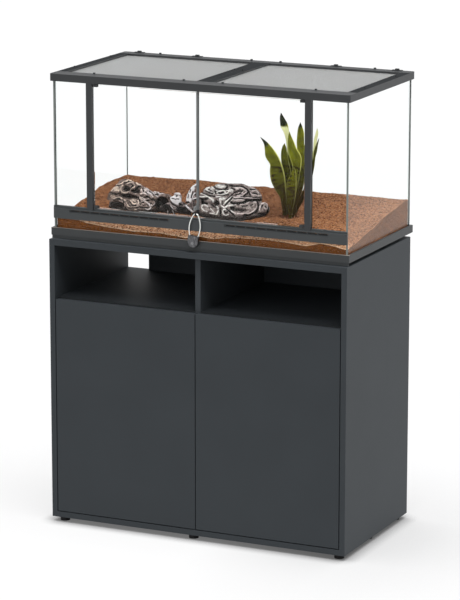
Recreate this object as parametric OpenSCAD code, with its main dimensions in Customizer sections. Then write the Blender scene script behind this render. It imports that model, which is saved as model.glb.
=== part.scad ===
// Terrarium on a base cabinet: two open bays above two inset doors, and a glass tank with
// hinged front doors, a ventilation rail, mesh covers and a padlock.
// Origin: centre of the cabinet's footprint on the floor. X right, front towards -Y, Z up.

/* [Cabinet] */
// Outer width of the cabinet
cabinet_width = 1010; // [900:1:1300]
// Outer depth of the cabinet
cabinet_depth = 510; // [470:1:640]
// Height of the carcass above its feet
cabinet_height = 902; // [700:1:1000]
// Thickness of the sides, shelves, partition, rear panels and base board
board = 18; // [16:0.5:22]
// Thickness of the top board
top_board = 19; // [16:0.5:25]
// Clear height of the open bays
bay_height = 169; // [120:1:260]
// Free strip beside each upper rear panel for cables
cable_gap = 84; // [40:1:120]
// Height of the feet
foot_height = 16; // [10:1:40]
// Diameter of the feet
foot_diameter = 31; // [20:1:45]
// Distance of the corner feet's centres from the carcass's edges
foot_inset = 30; // [24:1:60]
// Distance of the front and rear middle feet from the cabinet's middle, to the left
foot_shift = 20; // [0:1:60]

/* [Cabinet doors] */
// Thickness of the doors
door_board = 18; // [16:0.5:22]
// Gap round the doors
door_gap = 3; // [2:0.1:4]
// Gap between a closed door and the edges behind it
door_rest_gap = 3; // [2.5:0.1:5]
// Height of the shelf's edge that shows above the doors
shelf_reveal = 4; // [2:0.5:8]
// Distance of the pivot from the door's outer edge
pivot_inset = 8; // [7:0.1:10]
// Distance of the pivot behind the door's front face
pivot_cover = 5; // [4.6:0.1:5.5]
// Diameter of the pivot pins
pivot_pin_diameter = 3; // [2.5:0.1:3.4]
// Length of the pivot pins
pivot_pin_length = 24; // [16:1:40]
// Thickness of the hinge brackets' steel
bracket_steel = 2.5; // [2:0.1:3]
// Width of a bracket's tongue at the pin
tongue_width = 5.5; // [5:0.1:5.8]
// Height of a bracket's plate
bracket_height = 50; // [40:1:80]
// Reach of a bracket's plate along the side panel
bracket_reach = 38; // [30:1:60]
// Distance of the end brackets from the door's ends
bracket_end_distance = 70; // [50:1:140]
// Diameter of the bracket screws' heads
screw_head_diameter = 7; // [5:0.5:9]
// Height of the bracket screws' heads
screw_head_height = 2; // [1:0.1:3]

/* [Push latches] */
// Width of a latch housing
latch_width = 16; // [14:1:24]
// Height of a latch housing
latch_height = 14; // [12:1:20]
// Length of a latch housing
latch_length = 58; // [40:1:80]
// Diameter of the plunger
plunger_diameter = 8; // [6:0.5:9]
// Length of the plunger
plunger_length = 48; // [30:1:60]

/* [Tank] */
// Outer width of the glass tank
tank_width = 994; // [880:1:1280]
// Outer depth of the glass tank
tank_depth = 497; // [440:1:620]
// Height of the tank from its base frame's underside to its top frame's upper face
tank_height = 509; // [400:1:700]
// Distance of the tank's middle behind the cabinet's middle
tank_setback = 17.5; // [0:0.5:25]
// Thickness of the fixed panes
glass = 6; // [5:0.5:8]
// Thickness of the glass doors
door_glass = 5; // [4:0.5:6]
// Height of the pads that carry the tank
pad_height = 11; // [6:0.5:20]
// Length of the pads
pad_length = 28; // [20:1:40]
// Width of the pads
pad_width = 16; // [10:1:24]

/* [Base frame] */
// Height of the base frame
base_frame_height = 23.5; // [18:0.5:35]
// Thickness of the base frame outside the glass
base_frame_wall = 8; // [5:0.5:12]
// Thickness of the ledge that the panes stand on
ledge_thickness = 4; // [3:0.5:6]
// Width of the ledge inside the frame's wall
ledge_width = 14; // [10:1:24]

/* [Top frame] */
// Height of the top frame
top_frame_height = 23; // [18:0.5:32]
// Overhang of the top frame past the side panes
top_overhang_side = 7; // [5:0.5:9]
// Overhang of the top frame past the front and rear panes
top_overhang_end = 10.5; // [8:0.5:14]
// Thickness of the lift-out covers
cover_thickness = 8; // [6:0.5:10]
// Width of a cover's rim
rim_width = 26; // [20:0.5:34]
// Width of the front rail's strip beside the covers
front_strip = 30; // [20:0.5:40]
// Width of the rear rail's strip beside the covers
rear_strip = 15; // [12:0.5:24]
// Width of the side rails' strip beside the covers
side_strip = 4.5; // [3:0.5:8]
// How far the panes reach up into the frame
pane_engagement = 6; // [4:0.5:8]
// Radius of the top frame's corners
frame_corner = 6; // [3:0.5:10]
// Diameter of the studs on the covers and the rear rail
stud_diameter = 8; // [6:0.5:10]
// Height of the studs
stud_height = 4; // [3:0.5:7]

/* [Mesh] */
// Thickness of the mesh
mesh_thickness = 1.2; // [1:0.1:1.6]
// Width of the mesh bars
mesh_bar = 1.6; // [1.2:0.1:3]
// Number of gaps across each cover
mesh_gaps_across = 14; // [8:1:15]
// Number of gaps from front to rear of each cover
mesh_gaps_along = 10; // [6:1:10]

/* [Ventilation rail] */
// Height of glass that shows below the rail
low_pane_height = 31.5; // [20:0.5:80]
// Height of the rail's face
rail_height = 33; // [30:0.5:50]
// Height of the sill behind the rail's face
sill_height = 6; // [5:0.5:16]
// How far the rail stands in front of the glass
rail_projection = 11.5; // [10:0.5:18]
// How far the low front pane reaches up behind the rail
rail_overlap = 19; // [12:0.5:22]
// Length of the rail's end caps
cap_length = 34; // [20:1:60]
// Radius of the end caps' outer corner
cap_corner = 7; // [3:0.5:10]
// Half width of the plain middle of the rail
plain_half_width = 98; // [40:1:160]
// Length of a ventilation slot
slot_length = 30; // [15:1:60]
// Height of a ventilation slot
slot_height = 5; // [3:0.5:6]
// Width of the bar between two slots
slot_bar = 4; // [3:0.5:10]
// Depth of the groove that holds the slots
groove_depth = 3; // [1:0.5:5]

/* [Glass doors] */
// Distance of the door posts' middles from the tank's middle
post_offset = 368; // [300:1:420]
// Width of a post
post_width = 20; // [14:1:30]
// Depth of a post
post_depth = 16; // [14:0.5:20]
// Gap under and over the glass doors' clamps
glass_door_gap = 2; // [1.6:0.1:3]
// Thickness of a clamp's plate over the glass's edge
clamp_cap = 2; // [1.5:0.1:3]
// Distance of the pivot from the post
glass_pivot_distance = 8; // [8:0.5:12]
// Diameter of the pivot pins
glass_pin_diameter = 4; // [3:0.5:5]
// Length of a pin outside its clamp
glass_pin_length = 7; // [6:0.5:9]
// Width of a clamp along the glass
clamp_width = 14; // [12:1:40]
// Height of a clamp
clamp_height = 8; // [7:1:40]
// Thickness of a clamp's jaw
clamp_jaw = 3; // [2:0.1:3]
// Width of the strips where the doors meet
edge_strip_width = 3; // [2.5:0.1:5]
// Half of the gap between the doors
meeting_half_gap = 0.5; // [0.4:0.1:1.5]

/* [Padlock] */
// Thickness of the shackle's wire
wire_diameter = 4; // [3:0.1:5]
// Radius of the shackle's apex
apex_radius = 9; // [7:0.5:12]
// Half width of the shackle
shackle_half_width = 18.5; // [16:0.5:22]
// Bend radius of the shackle's sides
shackle_side_radius = 75; // [60:1:120]
// Height of the shackle's free loop
shackle_drop = 68; // [55:1:75]
// Diameter of the case
case_diameter = 37; // [34:1:44]
// Thickness of the case
case_thickness = 16; // [12:0.5:17]
// Height of the lug's hole above the sill
lug_rise = 16; // [14:0.5:20]
// Lean of the hanging padlock towards the left door
lean = 6.5; // [0:0.5:10]
// How far the shackle hangs in front of the ventilation rail
shackle_stand_off = 7; // [6.5:0.5:10]

/* [Cable slides] */
// Width of a cable notch
notch_width = 18; // [10:1:24]
// Depth of a cable notch below the rail's upper face
notch_depth = 14; // [10:1:16]
// Length of a slide
slide_length = 34; // [28:1:50]
// Thickness of a slide
slide_thickness = 2; // [2:0.5:4]
// Distance of the inner slides from the middle
slide_inner = 241; // [120:1:300]
// Distance of the outer slides from the middle
slide_outer = 448; // [340:1:460]

/* [Contents] */
// Height of the sand at the front, above the floor pane
sand_front = 37; // [20:1:40]
// Height of the sand at the rear, above the floor pane
sand_rear = 95; // [50:1:120]
// Height of the plant's tallest leaf
plant_height = 318; // [150:1:330]

/* [Hidden] */
$fn = 48;

left = -1;
right = 1;
fit = 0.3;       // clearance of a part that drops or slides into another
run = 0.1;       // radial clearance of a pin that turns in its hole
soft_gap = 0.5;  // clearance of the sand from the glass
past = 1;        // how far a cut runs past the face it opens

anthracite = "#404447";
frame_grey = "#4a4d4f";
black = "#1c1d1e";
steel = "#b9bbbe";
pane = [0.75, 0.85, 0.82, 0.35];
sand_brown = "#9e7b63";
bark = "#7d7268";
leaf_green = "#62703a";

// Cabinet levels and faces
x_side = cabinet_width / 2;
x_inner = x_side - board;
y_front = -cabinet_depth / 2;
y_rear = cabinet_depth / 2;
z_carcass = foot_height;
z_cabinet = foot_height + cabinet_height;
z_under_top = z_cabinet - top_board;
z_shelf = z_under_top - bay_height;
y_set_back = y_front + door_board + door_rest_gap;
y_door_rear = y_front + door_board;
door_low = z_carcass + board + door_gap;
door_high = z_shelf - shelf_reveal;
door_outer = x_inner - door_gap;
x_pivot = door_outer - pivot_inset;
y_pivot = y_front + pivot_cover;
bracket_levels = [
    door_low + bracket_end_distance,
    (door_low + door_high) / 2,
    door_high - bracket_end_distance,
];
bracket_gap = 1.5;    // from the closed door's rear face to a bracket's plate
bracket_neck = 4;     // from the closed door's rear face to the tongue's wide part
slot_play = 0.5;      // above and below a tongue in its slot

// Latches
x_latch = board / 2 + 15;
plunger_touch = 0.3;

// Tank levels and faces
x_tank = tank_width / 2;
y_tank_front = tank_setback - tank_depth / 2;
y_tank_rear = tank_setback + tank_depth / 2;
z_tank = z_cabinet + pad_height;
z_pane = z_tank + ledge_thickness;
z_floor = z_pane + glass;
z_base_frame = z_tank + base_frame_height;
z_top = z_tank + tank_height;
z_under_frame = z_top - top_frame_height;
z_pane_top = z_under_frame + pane_engagement;
x_base = x_tank + base_frame_wall;
y_base_front = y_tank_front - base_frame_wall;
y_base_rear = y_tank_rear + base_frame_wall;
pad_y_front = max(y_base_front, y_front) + pad_width / 2 + 4;
pad_y_rear = min(y_base_rear, y_rear) - pad_width / 2;
y_ledge_front = max(y_tank_front + ledge_width, pad_y_front);
y_ledge_rear = min(y_tank_rear - ledge_width, pad_y_rear);
x_skirt = x_base - 2;
y_skirt = y_base_front + 1.5;
skirt_wall = 2;
skirt_drop = 0.9 * pad_height;

// Top frame
x_top = x_tank + top_overhang_side;
y_top_front = y_tank_front - top_overhang_end;
y_top_rear = y_tank_rear + top_overhang_end;
z_cover = z_top - cover_thickness;
cover_outer = x_top - side_strip - fit;
cover_front = y_top_front + front_strip + fit;
cover_rear = y_top_rear - rear_strip - fit;
cover_inner = fit;
ledge_lap = rim_width - 1;
x_window = cover_outer - ledge_lap;
y_window_front = cover_front + ledge_lap;
y_window_rear = cover_rear - ledge_lap;
crossbar_half = cover_inner + ledge_lap;
mesh_hold = 3;        // how far the mesh reaches into its rim
mesh_rise = 1;        // mesh above the rim's underside
stud_set_in = 8;      // from a cover's outer edge to its side studs
stud_root = 1;        // stud below the surface that it stands on

// Ventilation rail
z_rail = z_base_frame + low_pane_height;
z_lip = z_rail + rail_height;
z_sill = z_lip + sill_height;
y_rail = y_tank_front - rail_projection;
y_sill = y_tank_front - door_glass;
y_behind_glass = y_tank_front + glass;
z_low_pane = z_rail + rail_overlap;
lip_round = 2;
z_slot = (z_low_pane + z_lip) / 2;
groove_margin = 2;    // groove beyond the slots, above and below
groove_end = x_tank - cap_length - 5;
slot_pitch = slot_length + slot_bar;
slot_count = floor((groove_end - plain_half_width + slot_bar) / slot_pitch);

// Glass doors
x_post_in = post_offset - post_width / 2;
x_post_out = post_offset + post_width / 2;
y_post = y_behind_glass - post_depth;
y_pane = y_tank_front - door_glass + 1;
y_pane_mid = y_pane + door_glass / 2;
z_clamp_low = z_sill + glass_door_gap;
z_clamp_high = z_under_frame - glass_door_gap;
z_door_low = z_clamp_low + clamp_cap;
z_door_high = z_clamp_high - clamp_cap;
x_glass_pivot = x_post_in - glass_pivot_distance;
glass_edge = x_glass_pivot + 4;
strip_lip = 1.2;
strip_web = 1;
washer_diameter = 8;

// Padlock
x_lug = meeting_half_gap + edge_strip_width / 2;
y_shackle = y_rail - shackle_stand_off;
z_apex = z_sill + lug_rise;
lug_hole = wire_diameter + 1.4;
lug_size = lug_hole + 9;
lug_step = lug_size + 2;
apex_centre = z_apex - apex_radius;
side_centre_x = shackle_side_radius - shackle_half_width;
side_join = acos(side_centre_x / (shackle_side_radius - apex_radius));
side_centre_z = apex_centre - (shackle_side_radius - apex_radius) * sin(side_join);
z_shackle_end = z_apex - shackle_drop;
side_end = asin((side_centre_z - z_shackle_end) / shackle_side_radius);
x_leg = shackle_side_radius * cos(side_end) - side_centre_x;
leg_pin = 10;
wire_joint = wire_diameter + 0.06;
corner_width = shackle_half_width + wire_diameter / 2 + 2 - x_lug;
z_corner = z_apex + wire_diameter / 2 + 2;
z_case = z_shackle_end - 1 - case_diameter / 2;
case_shoulder = 2 * x_leg + wire_diameter + 1.5;

// Cable slides
slide_outermost = min(slide_outer, x_top - 56);
slide_innermost = min(slide_inner, slide_outermost - 80);
slide_places = [-slide_outermost, -slide_innermost, slide_innermost, slide_outermost];
y_slide = y_top_rear - rear_strip / 2;
guide_width = 2;
guide_depth = 2;
slide_travel = notch_width + 6;
groove_reach = slide_length / 2 + slide_travel + fit;
free_from = slide_innermost + groove_reach;   // rail without a groove on either side
free_to = slide_outermost - groove_reach;
rail_stud = free_from + 0.73 * (free_to - free_from);

// Sand: heights along the depth
sand_low = y_behind_glass + soft_gap;
sand_high = y_tank_rear - glass - soft_gap;
sand_points = [
    [sand_low, z_floor + sand_front],
    [sand_low + 0.22 * (sand_high - sand_low), z_floor + sand_front + 0.31 * (sand_rear - sand_front)],
    [sand_low + 0.6 * (sand_high - sand_low), z_floor + sand_front + 0.66 * (sand_rear - sand_front)],
    [sand_high, z_floor + sand_rear],
];

// A box between two corners
module block(low, high) {
    translate(low)
        cube(high - low);
}

// The right-hand shape, mirrored for the left
module on_side(side) {
    mirror([side == left ? 1 : 0, 0, 0])
        children();
}

module on_both_sides() {
    for (side = [left, right])
        on_side(side) children();
}

// A profile drawn as [y, z], run along X between two places
module along_x(from, to) {
    translate([from, 0, 0])
        rotate([90, 0, 90])
            linear_extrude(to - from)
                children();
}

// ---- Cabinet ----

module cabinet_base_board() {
    color(anthracite)
        block([-x_inner, y_front, z_carcass], [x_inner, y_rear, z_carcass + board]);
}

module cabinet_side(side) {
    color(anthracite)
        on_side(side)
            block([x_inner, y_front, z_carcass], [x_side, y_rear, z_under_top]);
}

module cabinet_centre_partition() {
    color(anthracite)
        block([-board / 2, y_set_back, z_carcass + board], [board / 2, y_rear, z_under_top]);
}

module cabinet_shelf(side) {
    color(anthracite)
        on_side(side)
            block([board / 2, y_set_back, z_shelf - board], [x_inner, y_rear - board, z_shelf]);
}

module cabinet_top_board() {
    color(anthracite)
        block([-x_side, y_front, z_under_top], [x_side, y_rear, z_cabinet]);
}

module rear_panels_upper() {
    color(anthracite)
        on_both_sides()
            block([board / 2, y_rear - board, z_shelf], [x_inner - cable_gap, y_rear, z_under_top]);
}

module rear_panels_lower() {
    color(anthracite)
        on_both_sides()
            block([board / 2, y_rear - board, z_carcass + board], [x_inner, y_rear, z_shelf]);
}

module cabinet_feet() {
    foot_x = x_side - foot_inset;
    foot_y = y_rear - foot_inset;
    color(black)
        for (x = [-foot_x, 0, foot_x], y = [-foot_y, 0, foot_y])
            translate([x == 0 && y != 0 ? -foot_shift : x, y, 0])
                cylinder(d = foot_diameter, h = foot_height);
}

// ---- Cabinet doors ----

module hinge_brackets() {
    y_plate = y_door_rear + bracket_gap;
    y_wide = y_door_rear + bracket_neck;
    half_steel = bracket_steel / 2;
    color(steel)
        on_both_sides()
            for (z = bracket_levels)
                difference() {
                    union() {
                        block([x_inner - bracket_steel, y_plate, z - bracket_height / 2],
                              [x_inner, y_plate + bracket_reach, z + bracket_height / 2]);
                        block([x_pivot - tongue_width / 2, y_wide, z - half_steel],
                              [x_inner - bracket_steel, y_plate + bracket_reach, z + half_steel]);
                        block([x_pivot - tongue_width / 2, y_pivot, z - half_steel],
                              [x_pivot + tongue_width / 2, y_wide, z + half_steel]);
                        translate([x_pivot, y_pivot, z - half_steel])
                            cylinder(d = tongue_width, h = bracket_steel);
                    }
                    translate([x_pivot, y_pivot, z - half_steel - past])
                        cylinder(d = pivot_pin_diameter, h = bracket_steel + 2 * past);
                }
}

module hinge_pins() {
    color(steel)
        on_both_sides()
            for (z = bracket_levels)
                translate([x_pivot, y_pivot, z - pivot_pin_length / 2])
                    cylinder(d = pivot_pin_diameter, h = pivot_pin_length);
}

module hinge_screws() {
    y_screw = y_door_rear + bracket_gap + bracket_reach / 2;
    color(steel)
        on_both_sides()
            for (z = bracket_levels, step = [-1, 1])
                translate([x_inner - bracket_steel, y_screw, z + step * bracket_height / 3.3])
                    rotate([0, -90, 0])
                        cylinder(d = screw_head_diameter, h = screw_head_height);
}

module cabinet_door(side) {
    slot_half = bracket_steel / 2 + slot_play;
    tongue_play = 0.3;
    sway = pivot_inset * tan(5) + tongue_width / 2 + tongue_play;
    color(anthracite)
        on_side(side)
            difference() {
                block([door_gap / 2, y_front, door_low], [door_outer, y_door_rear, door_high]);
                for (z = bracket_levels) {
                    block([x_pivot - tongue_width / 2 - tongue_play, y_pivot - sway, z - slot_half],
                          [door_outer + past, y_door_rear + past, z + slot_half]);
                    translate([x_pivot, y_pivot, z - pivot_pin_length / 2 - fit])
                        cylinder(d = pivot_pin_diameter + 2 * run, h = pivot_pin_length + 2 * fit);
                }
            }
}

// ---- Push latches ----

module push_latch_housings() {
    z_middle = z_shelf - board - latch_height / 2;
    bore_depth = plunger_length - (door_rest_gap - plunger_touch) + 5;
    color(black)
        on_both_sides()
            difference() {
                block([x_latch, y_set_back, z_shelf - board - latch_height],
                      [x_latch + latch_width, y_set_back + latch_length, z_shelf - board]);
                translate([x_latch + latch_width / 2, y_set_back - past, z_middle])
                    rotate([-90, 0, 0])
                        cylinder(d = plunger_diameter + 2 * run, h = bore_depth + past);
            }
}

module push_latch_plunger(side) {
    color("white")
        on_side(side)
            translate([x_latch + latch_width / 2, y_door_rear + plunger_touch,
                       z_shelf - board - latch_height / 2])
                rotate([-90, 0, 0])
                    cylinder(d = plunger_diameter, h = plunger_length);
}

// ---- Tank: pads, base frame and panes ----

module support_pads() {
    pad_x = min(x_base, x_side) - 80;
    color(black)
        for (x = [-pad_x, -pad_x / 3, pad_x / 3, pad_x], y = [pad_y_front, pad_y_rear])
            block([x - pad_length / 2, y - pad_width / 2, z_cabinet],
                  [x + pad_length / 2, y + pad_width / 2, z_tank]);
}

// Corners of each fixed pane
function rear_pane() = [
    [-x_tank + glass, y_tank_rear - glass, z_pane],
    [x_tank - glass, y_tank_rear, z_pane_top],
];
function side_pane() = [[x_tank - glass, y_tank_front, z_pane], [x_tank, y_tank_rear, z_pane_top]];
function low_pane() = [
    [-x_tank + glass, y_tank_front, z_pane],
    [x_tank - glass, y_behind_glass, z_low_pane],
];
function narrow_pane() = [[x_post_out, y_tank_front, z_sill], [x_tank - glass, y_behind_glass, z_pane_top]];

// A pane with its play, to be cut from what holds it
module pane_seat(corners) {
    play = [fit, fit, 0];
    block(corners[0] - play, corners[1] + play);
}

module pane_seats() {
    pane_seat(rear_pane());
    pane_seat(low_pane());
    on_both_sides() {
        pane_seat(side_pane());
        pane_seat(narrow_pane());
    }
}

// L-shaped rails: a wall outside the panes and a ledge below them.
// The front one has a skirt that reaches nearly down to the cabinet and hides the pads.
module base_rail_front() {
    color(frame_grey)
        difference() {
            union() {
                block([-x_base, y_base_front, z_tank], [x_base, y_tank_front, z_base_frame]);
                block([-x_skirt, y_skirt, z_tank - skirt_drop], [x_skirt, y_skirt + skirt_wall, z_tank]);
                block([-x_tank, y_tank_front, z_tank], [x_tank, y_ledge_front, z_pane]);
            }
            pane_seats();
        }
}

module base_rail_rear() {
    color(frame_grey)
        difference() {
            union() {
                block([-x_base, y_tank_rear, z_tank], [x_base, y_base_rear, z_base_frame]);
                block([-x_tank, y_ledge_rear, z_tank], [x_tank, y_tank_rear, z_pane]);
            }
            pane_seats();
        }
}

module base_rail_side(side) {
    color(frame_grey)
        on_side(side)
            difference() {
                union() {
                    block([x_tank, y_tank_front, z_tank], [x_base, y_tank_rear, z_base_frame]);
                    block([x_tank - ledge_width, y_ledge_front, z_tank], [x_tank, y_ledge_rear, z_pane]);
                }
                pane_seats();
            }
}

module floor_glass() {
    x = x_tank - glass - fit;
    color(pane)
        block([-x, y_behind_glass + fit, z_pane], [x, y_tank_rear - glass - fit, z_floor]);
}

module glass_rear() {
    color(pane)
        block(rear_pane()[0], rear_pane()[1]);
}

module glass_side(side) {
    color(pane)
        on_side(side)
            block(side_pane()[0], side_pane()[1]);
}

module glass_front_lower() {
    color(pane)
        block(low_pane()[0], low_pane()[1]);
}

module glass_front_narrow(side) {
    color(pane)
        on_side(side)
            block(narrow_pane()[0], narrow_pane()[1]);
}

// ---- Ventilation rail ----

// Section: face with a rounded lip, and a sill set back behind it
module rail_section() {
    lip_y = y_rail + lip_round;
    lip_z = z_lip - lip_round;
    lip = [for (a = [180:-18:90]) [lip_y + lip_round * cos(a), lip_z + lip_round * sin(a)]];
    polygon(concat(
        [[y_behind_glass, z_sill], [y_behind_glass, z_low_pane], [y_tank_front - fit, z_low_pane],
         [y_tank_front - fit, z_rail], [y_rail, z_rail]],
        lip,
        [[y_sill, z_lip], [y_sill, z_sill]]));
}

module vent_rail() {
    x_end = x_tank - cap_length;
    groove_low = z_slot - slot_height / 2 - groove_margin;
    groove_high = z_slot + slot_height / 2 + groove_margin;
    slots_length = slot_count * slot_pitch - slot_bar;
    color(frame_grey)
        difference() {
            along_x(-x_end, x_end) rail_section();
            on_both_sides() {
                block([plain_half_width - slot_bar, y_rail - past, groove_low],
                      [plain_half_width + slots_length + slot_bar, y_rail + groove_depth, groove_high]);
                for (i = [0:slot_count - 1])
                    block([plain_half_width + i * slot_pitch, y_rail - past, z_slot - slot_height / 2],
                          [plain_half_width + i * slot_pitch + slot_length, y_behind_glass + past,
                           z_slot + slot_height / 2]);
                translate([x_glass_pivot, y_pane_mid, z_sill - glass_pin_length])
                    cylinder(d = glass_pin_diameter + 2 * run, h = glass_pin_length + past);
            }
        }
}

module vent_rail_caps() {
    color(frame_grey)
        on_both_sides()
            difference() {
                intersection() {
                    along_x(x_tank - cap_length, x_tank) rail_section();
                    union() {
                        block([0, y_rail, z_rail], [x_tank - cap_corner, y_behind_glass, z_sill]);
                        block([0, y_rail + cap_corner, z_rail], [x_tank, y_behind_glass, z_sill]);
                        translate([x_tank - cap_corner, y_rail + cap_corner, z_rail])
                            cylinder(r = cap_corner, h = z_sill - z_rail);
                    }
                }
                pane_seat(side_pane());
            }
}

// ---- Posts and glass doors ----

module door_post(side) {
    color(frame_grey)
        on_side(side) {
            block([x_post_in, y_post, z_lip], [x_post_out, y_sill, z_under_frame]);
            block([x_post_in, y_sill, z_sill], [x_post_out, y_behind_glass, z_under_frame]);
        }
}

// The left door's lower corner is cut out round the shackle, which hangs on the right door
module glass_door(side) {
    color(pane)
        on_side(side)
            difference() {
                block([meeting_half_gap + strip_web, y_pane, z_door_low],
                      [glass_edge, y_pane + door_glass, z_door_high]);
                if (side == left)
                    block([0, y_pane - past, z_door_low - past],
                          [corner_width, y_pane + door_glass + past, z_corner]);
            }
}

module door_clamps(side) {
    jaw_end = glass_edge + 0.8;
    washer = glass_door_gap - fit;
    pin = glass_door_gap + glass_pin_length - fit;
    color(frame_grey)
        on_side(side) {
            difference() {
                union()
                    for (z = [z_clamp_low, z_clamp_high - clamp_height])
                        block([jaw_end - clamp_width, y_pane - clamp_jaw, z],
                              [jaw_end, y_pane + door_glass + clamp_jaw, z + clamp_height]);
                block([0, y_pane, z_door_low], [glass_edge, y_pane + door_glass, z_door_high]);
            }
            translate([x_glass_pivot, y_pane_mid, z_clamp_high])
                cylinder(d = glass_pin_diameter, h = pin);
            translate([x_glass_pivot, y_pane_mid, z_clamp_low - pin])
                cylinder(d = glass_pin_diameter, h = pin);
            translate([x_glass_pivot, y_pane_mid, z_clamp_low - washer])
                cylinder(d = washer_diameter, h = washer);
        }
}

// Channel on a door's free edge, with a lug for the padlock.
// The left lug stands a step higher, so that the shackle hangs in the right one alone.
module edge_strip(side) {
    x_out = meeting_half_gap + edge_strip_width;
    z_hole = z_apex + (side == left ? lug_step : 0);
    z_end = side == left ? z_corner : z_clamp_low;
    color(black)
        on_side(side)
            difference() {
                union() {
                    block([meeting_half_gap, y_pane - strip_lip, z_end],
                          [x_out, y_pane + door_glass + strip_lip, z_clamp_high]);
                    block([meeting_half_gap, y_shackle, z_hole - lug_size / 2],
                          [x_out, y_pane - strip_lip, z_hole + lug_size / 2]);
                    translate([meeting_half_gap, y_shackle, z_hole])
                        rotate([0, 90, 0])
                            cylinder(d = lug_size, h = edge_strip_width);
                }
                block([meeting_half_gap + strip_web, y_pane, z_end - past],
                      [x_out + past, y_pane + door_glass, z_clamp_high + past]);
                translate([0, y_shackle, z_hole])
                    rotate([0, 90, 0])
                        cylinder(d = lug_hole, h = x_out + past);
            }
}

// ---- Padlock ----

// A bent piece of wire in the XZ plane: from and sweep are angles from +X towards +Z
module wire_bend(centre, radius, from, sweep) {
    translate(centre)
        rotate([90, -from, 0])
            rotate_extrude(angle = sweep)
                translate([radius, 0])
                    circle(d = wire_diameter);
}

// Puts the padlock's pieces, drawn upright round the lug's axis, at their lean
module leaning() {
    translate([x_lug, y_shackle, z_apex])
        rotate([0, lean, 0])
            translate([0, 0, -z_apex])
                children();
}

module padlock_shackle() {
    color(steel)
        leaning() {
            wire_bend([0, 0, apex_centre], apex_radius, side_join, 180 - 2 * side_join);
            on_both_sides() {
                wire_bend([-side_centre_x, 0, side_centre_z], shackle_side_radius, -side_end,
                          side_end + side_join);
                translate([apex_radius * cos(side_join), 0, apex_centre + apex_radius * sin(side_join)])
                    sphere(d = wire_joint);
                translate([x_leg, 0, z_shackle_end])
                    sphere(d = wire_joint);
                translate([x_leg, 0, z_shackle_end - leg_pin])
                    cylinder(d = wire_diameter, h = leg_pin);
            }
        }
}

module padlock_case() {
    half = case_thickness / 2;
    radius = case_diameter / 2;
    shoulder_top = z_case + radius;
    color("#77797c")
        leaning()
            difference() {
                union() {
                    translate([0, 0, z_case])
                        rotate([90, 0, 0])
                            rotate_extrude()
                                polygon([[0, -half], [0.72 * radius, -half], [0.93 * radius, -0.7 * half],
                                         [radius, -0.25 * half], [radius, 0.25 * half],
                                         [0.93 * radius, 0.7 * half], [0.72 * radius, half], [0, half]]);
                    block([-case_shoulder / 2, -0.7 * half, z_case],
                          [case_shoulder / 2, 0.7 * half, shoulder_top]);
                }
                for (x = [-x_leg, x_leg])
                    translate([x, 0, z_case])
                        cylinder(d = wire_diameter + 2 * fit, h = radius + past);
                translate([0, -half + 1, z_case - 4])
                    rotate([90, 0, 0])
                        cylinder(d = 9, h = 2 * past);
            }
}

// ---- Top frame ----

// Outline of the whole frame with its rounded corners
module frame_outline() {
    x = x_top - frame_corner;
    low = y_top_front + frame_corner;
    high = y_top_rear - frame_corner;
    translate([-x_top, low])
        square([2 * x_top, high - low]);
    translate([-x, y_top_front])
        square([2 * x, y_top_rear - y_top_front]);
    for (cx = [-x, x], cy = [low, high])
        translate([cx, cy])
            circle(r = frame_corner);
}

// A rail between two corners of the plan: low behind the covers' edge, high outside it
module frame_rail(low, high) {
    difference() {
        intersection() {
            translate([0, 0, z_under_frame])
                linear_extrude(top_frame_height)
                    frame_outline();
            block([low[0], low[1], z_under_frame], [high[0], high[1], z_top]);
        }
        block([-cover_outer - fit, cover_front - fit, z_cover],
              [cover_outer + fit, cover_rear + fit, z_top + past]);
        pane_seats();
    }
}

module top_rail_front() {
    color(frame_grey)
        difference() {
            frame_rail([-x_top, y_top_front], [x_top, y_window_front]);
            on_both_sides()
                translate([x_glass_pivot, y_pane_mid, z_under_frame - past])
                    cylinder(d = glass_pin_diameter + 2 * run, h = glass_pin_length + past);
        }
}

module stud(x, y) {
    translate([x, y, z_top - stud_root])
        cylinder(d = stud_diameter, h = stud_root + stud_height);
}

module top_rail_rear() {
    color(frame_grey) {
        difference() {
            frame_rail([-x_top, y_window_rear], [x_top, y_top_rear]);
            for (x = slide_places) {
                block([x - notch_width / 2, y_window_rear - past, z_top - notch_depth],
                      [x + notch_width / 2, y_top_rear + past, z_top + past]);
                block([x - slide_length / 2 - fit, y_slide - guide_width / 2, z_top - guide_depth],
                      [x + groove_reach, y_slide + guide_width / 2, z_top + past]);
            }
        }
        for (x = [-rail_stud, -0.1 * x_top, 0.1 * x_top, rail_stud])
            stud(x, y_slide);
    }
}

module top_rail_side(side) {
    color(frame_grey)
        on_side(side)
            frame_rail([x_window, y_window_front], [x_top, y_window_rear]);
}

module top_crossbar() {
    color(frame_grey)
        block([-crossbar_half, y_window_front, z_under_frame], [crossbar_half, y_window_rear, z_cover]);
}

// ---- Mesh covers ----

function mesh_low() = [
    cover_inner + rim_width - mesh_hold,
    cover_front + rim_width - mesh_hold,
    z_cover + mesh_rise,
];
function mesh_high() = [
    cover_outer - rim_width + mesh_hold,
    cover_rear - rim_width + mesh_hold,
    z_cover + mesh_rise + mesh_thickness,
];

module mesh_rim(side) {
    color(frame_grey)
        on_side(side) {
            difference() {
                block([cover_inner, cover_front, z_cover], [cover_outer, cover_rear, z_top]);
                block([cover_inner + rim_width, cover_front + rim_width, z_cover - past],
                      [cover_outer - rim_width, cover_rear - rim_width, z_top + past]);
                block(mesh_low(), mesh_high());
            }
            for (x = [0.13, 0.74])
                stud(x * x_top, cover_front + rim_width - stud_set_in);
            for (y = [0.28, 0.76])
                stud(cover_outer - stud_set_in, y_top_front + y * (y_top_rear - y_top_front));
            stud(cover_inner + rim_width / 2, tank_setback + 47);
        }
}

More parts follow.
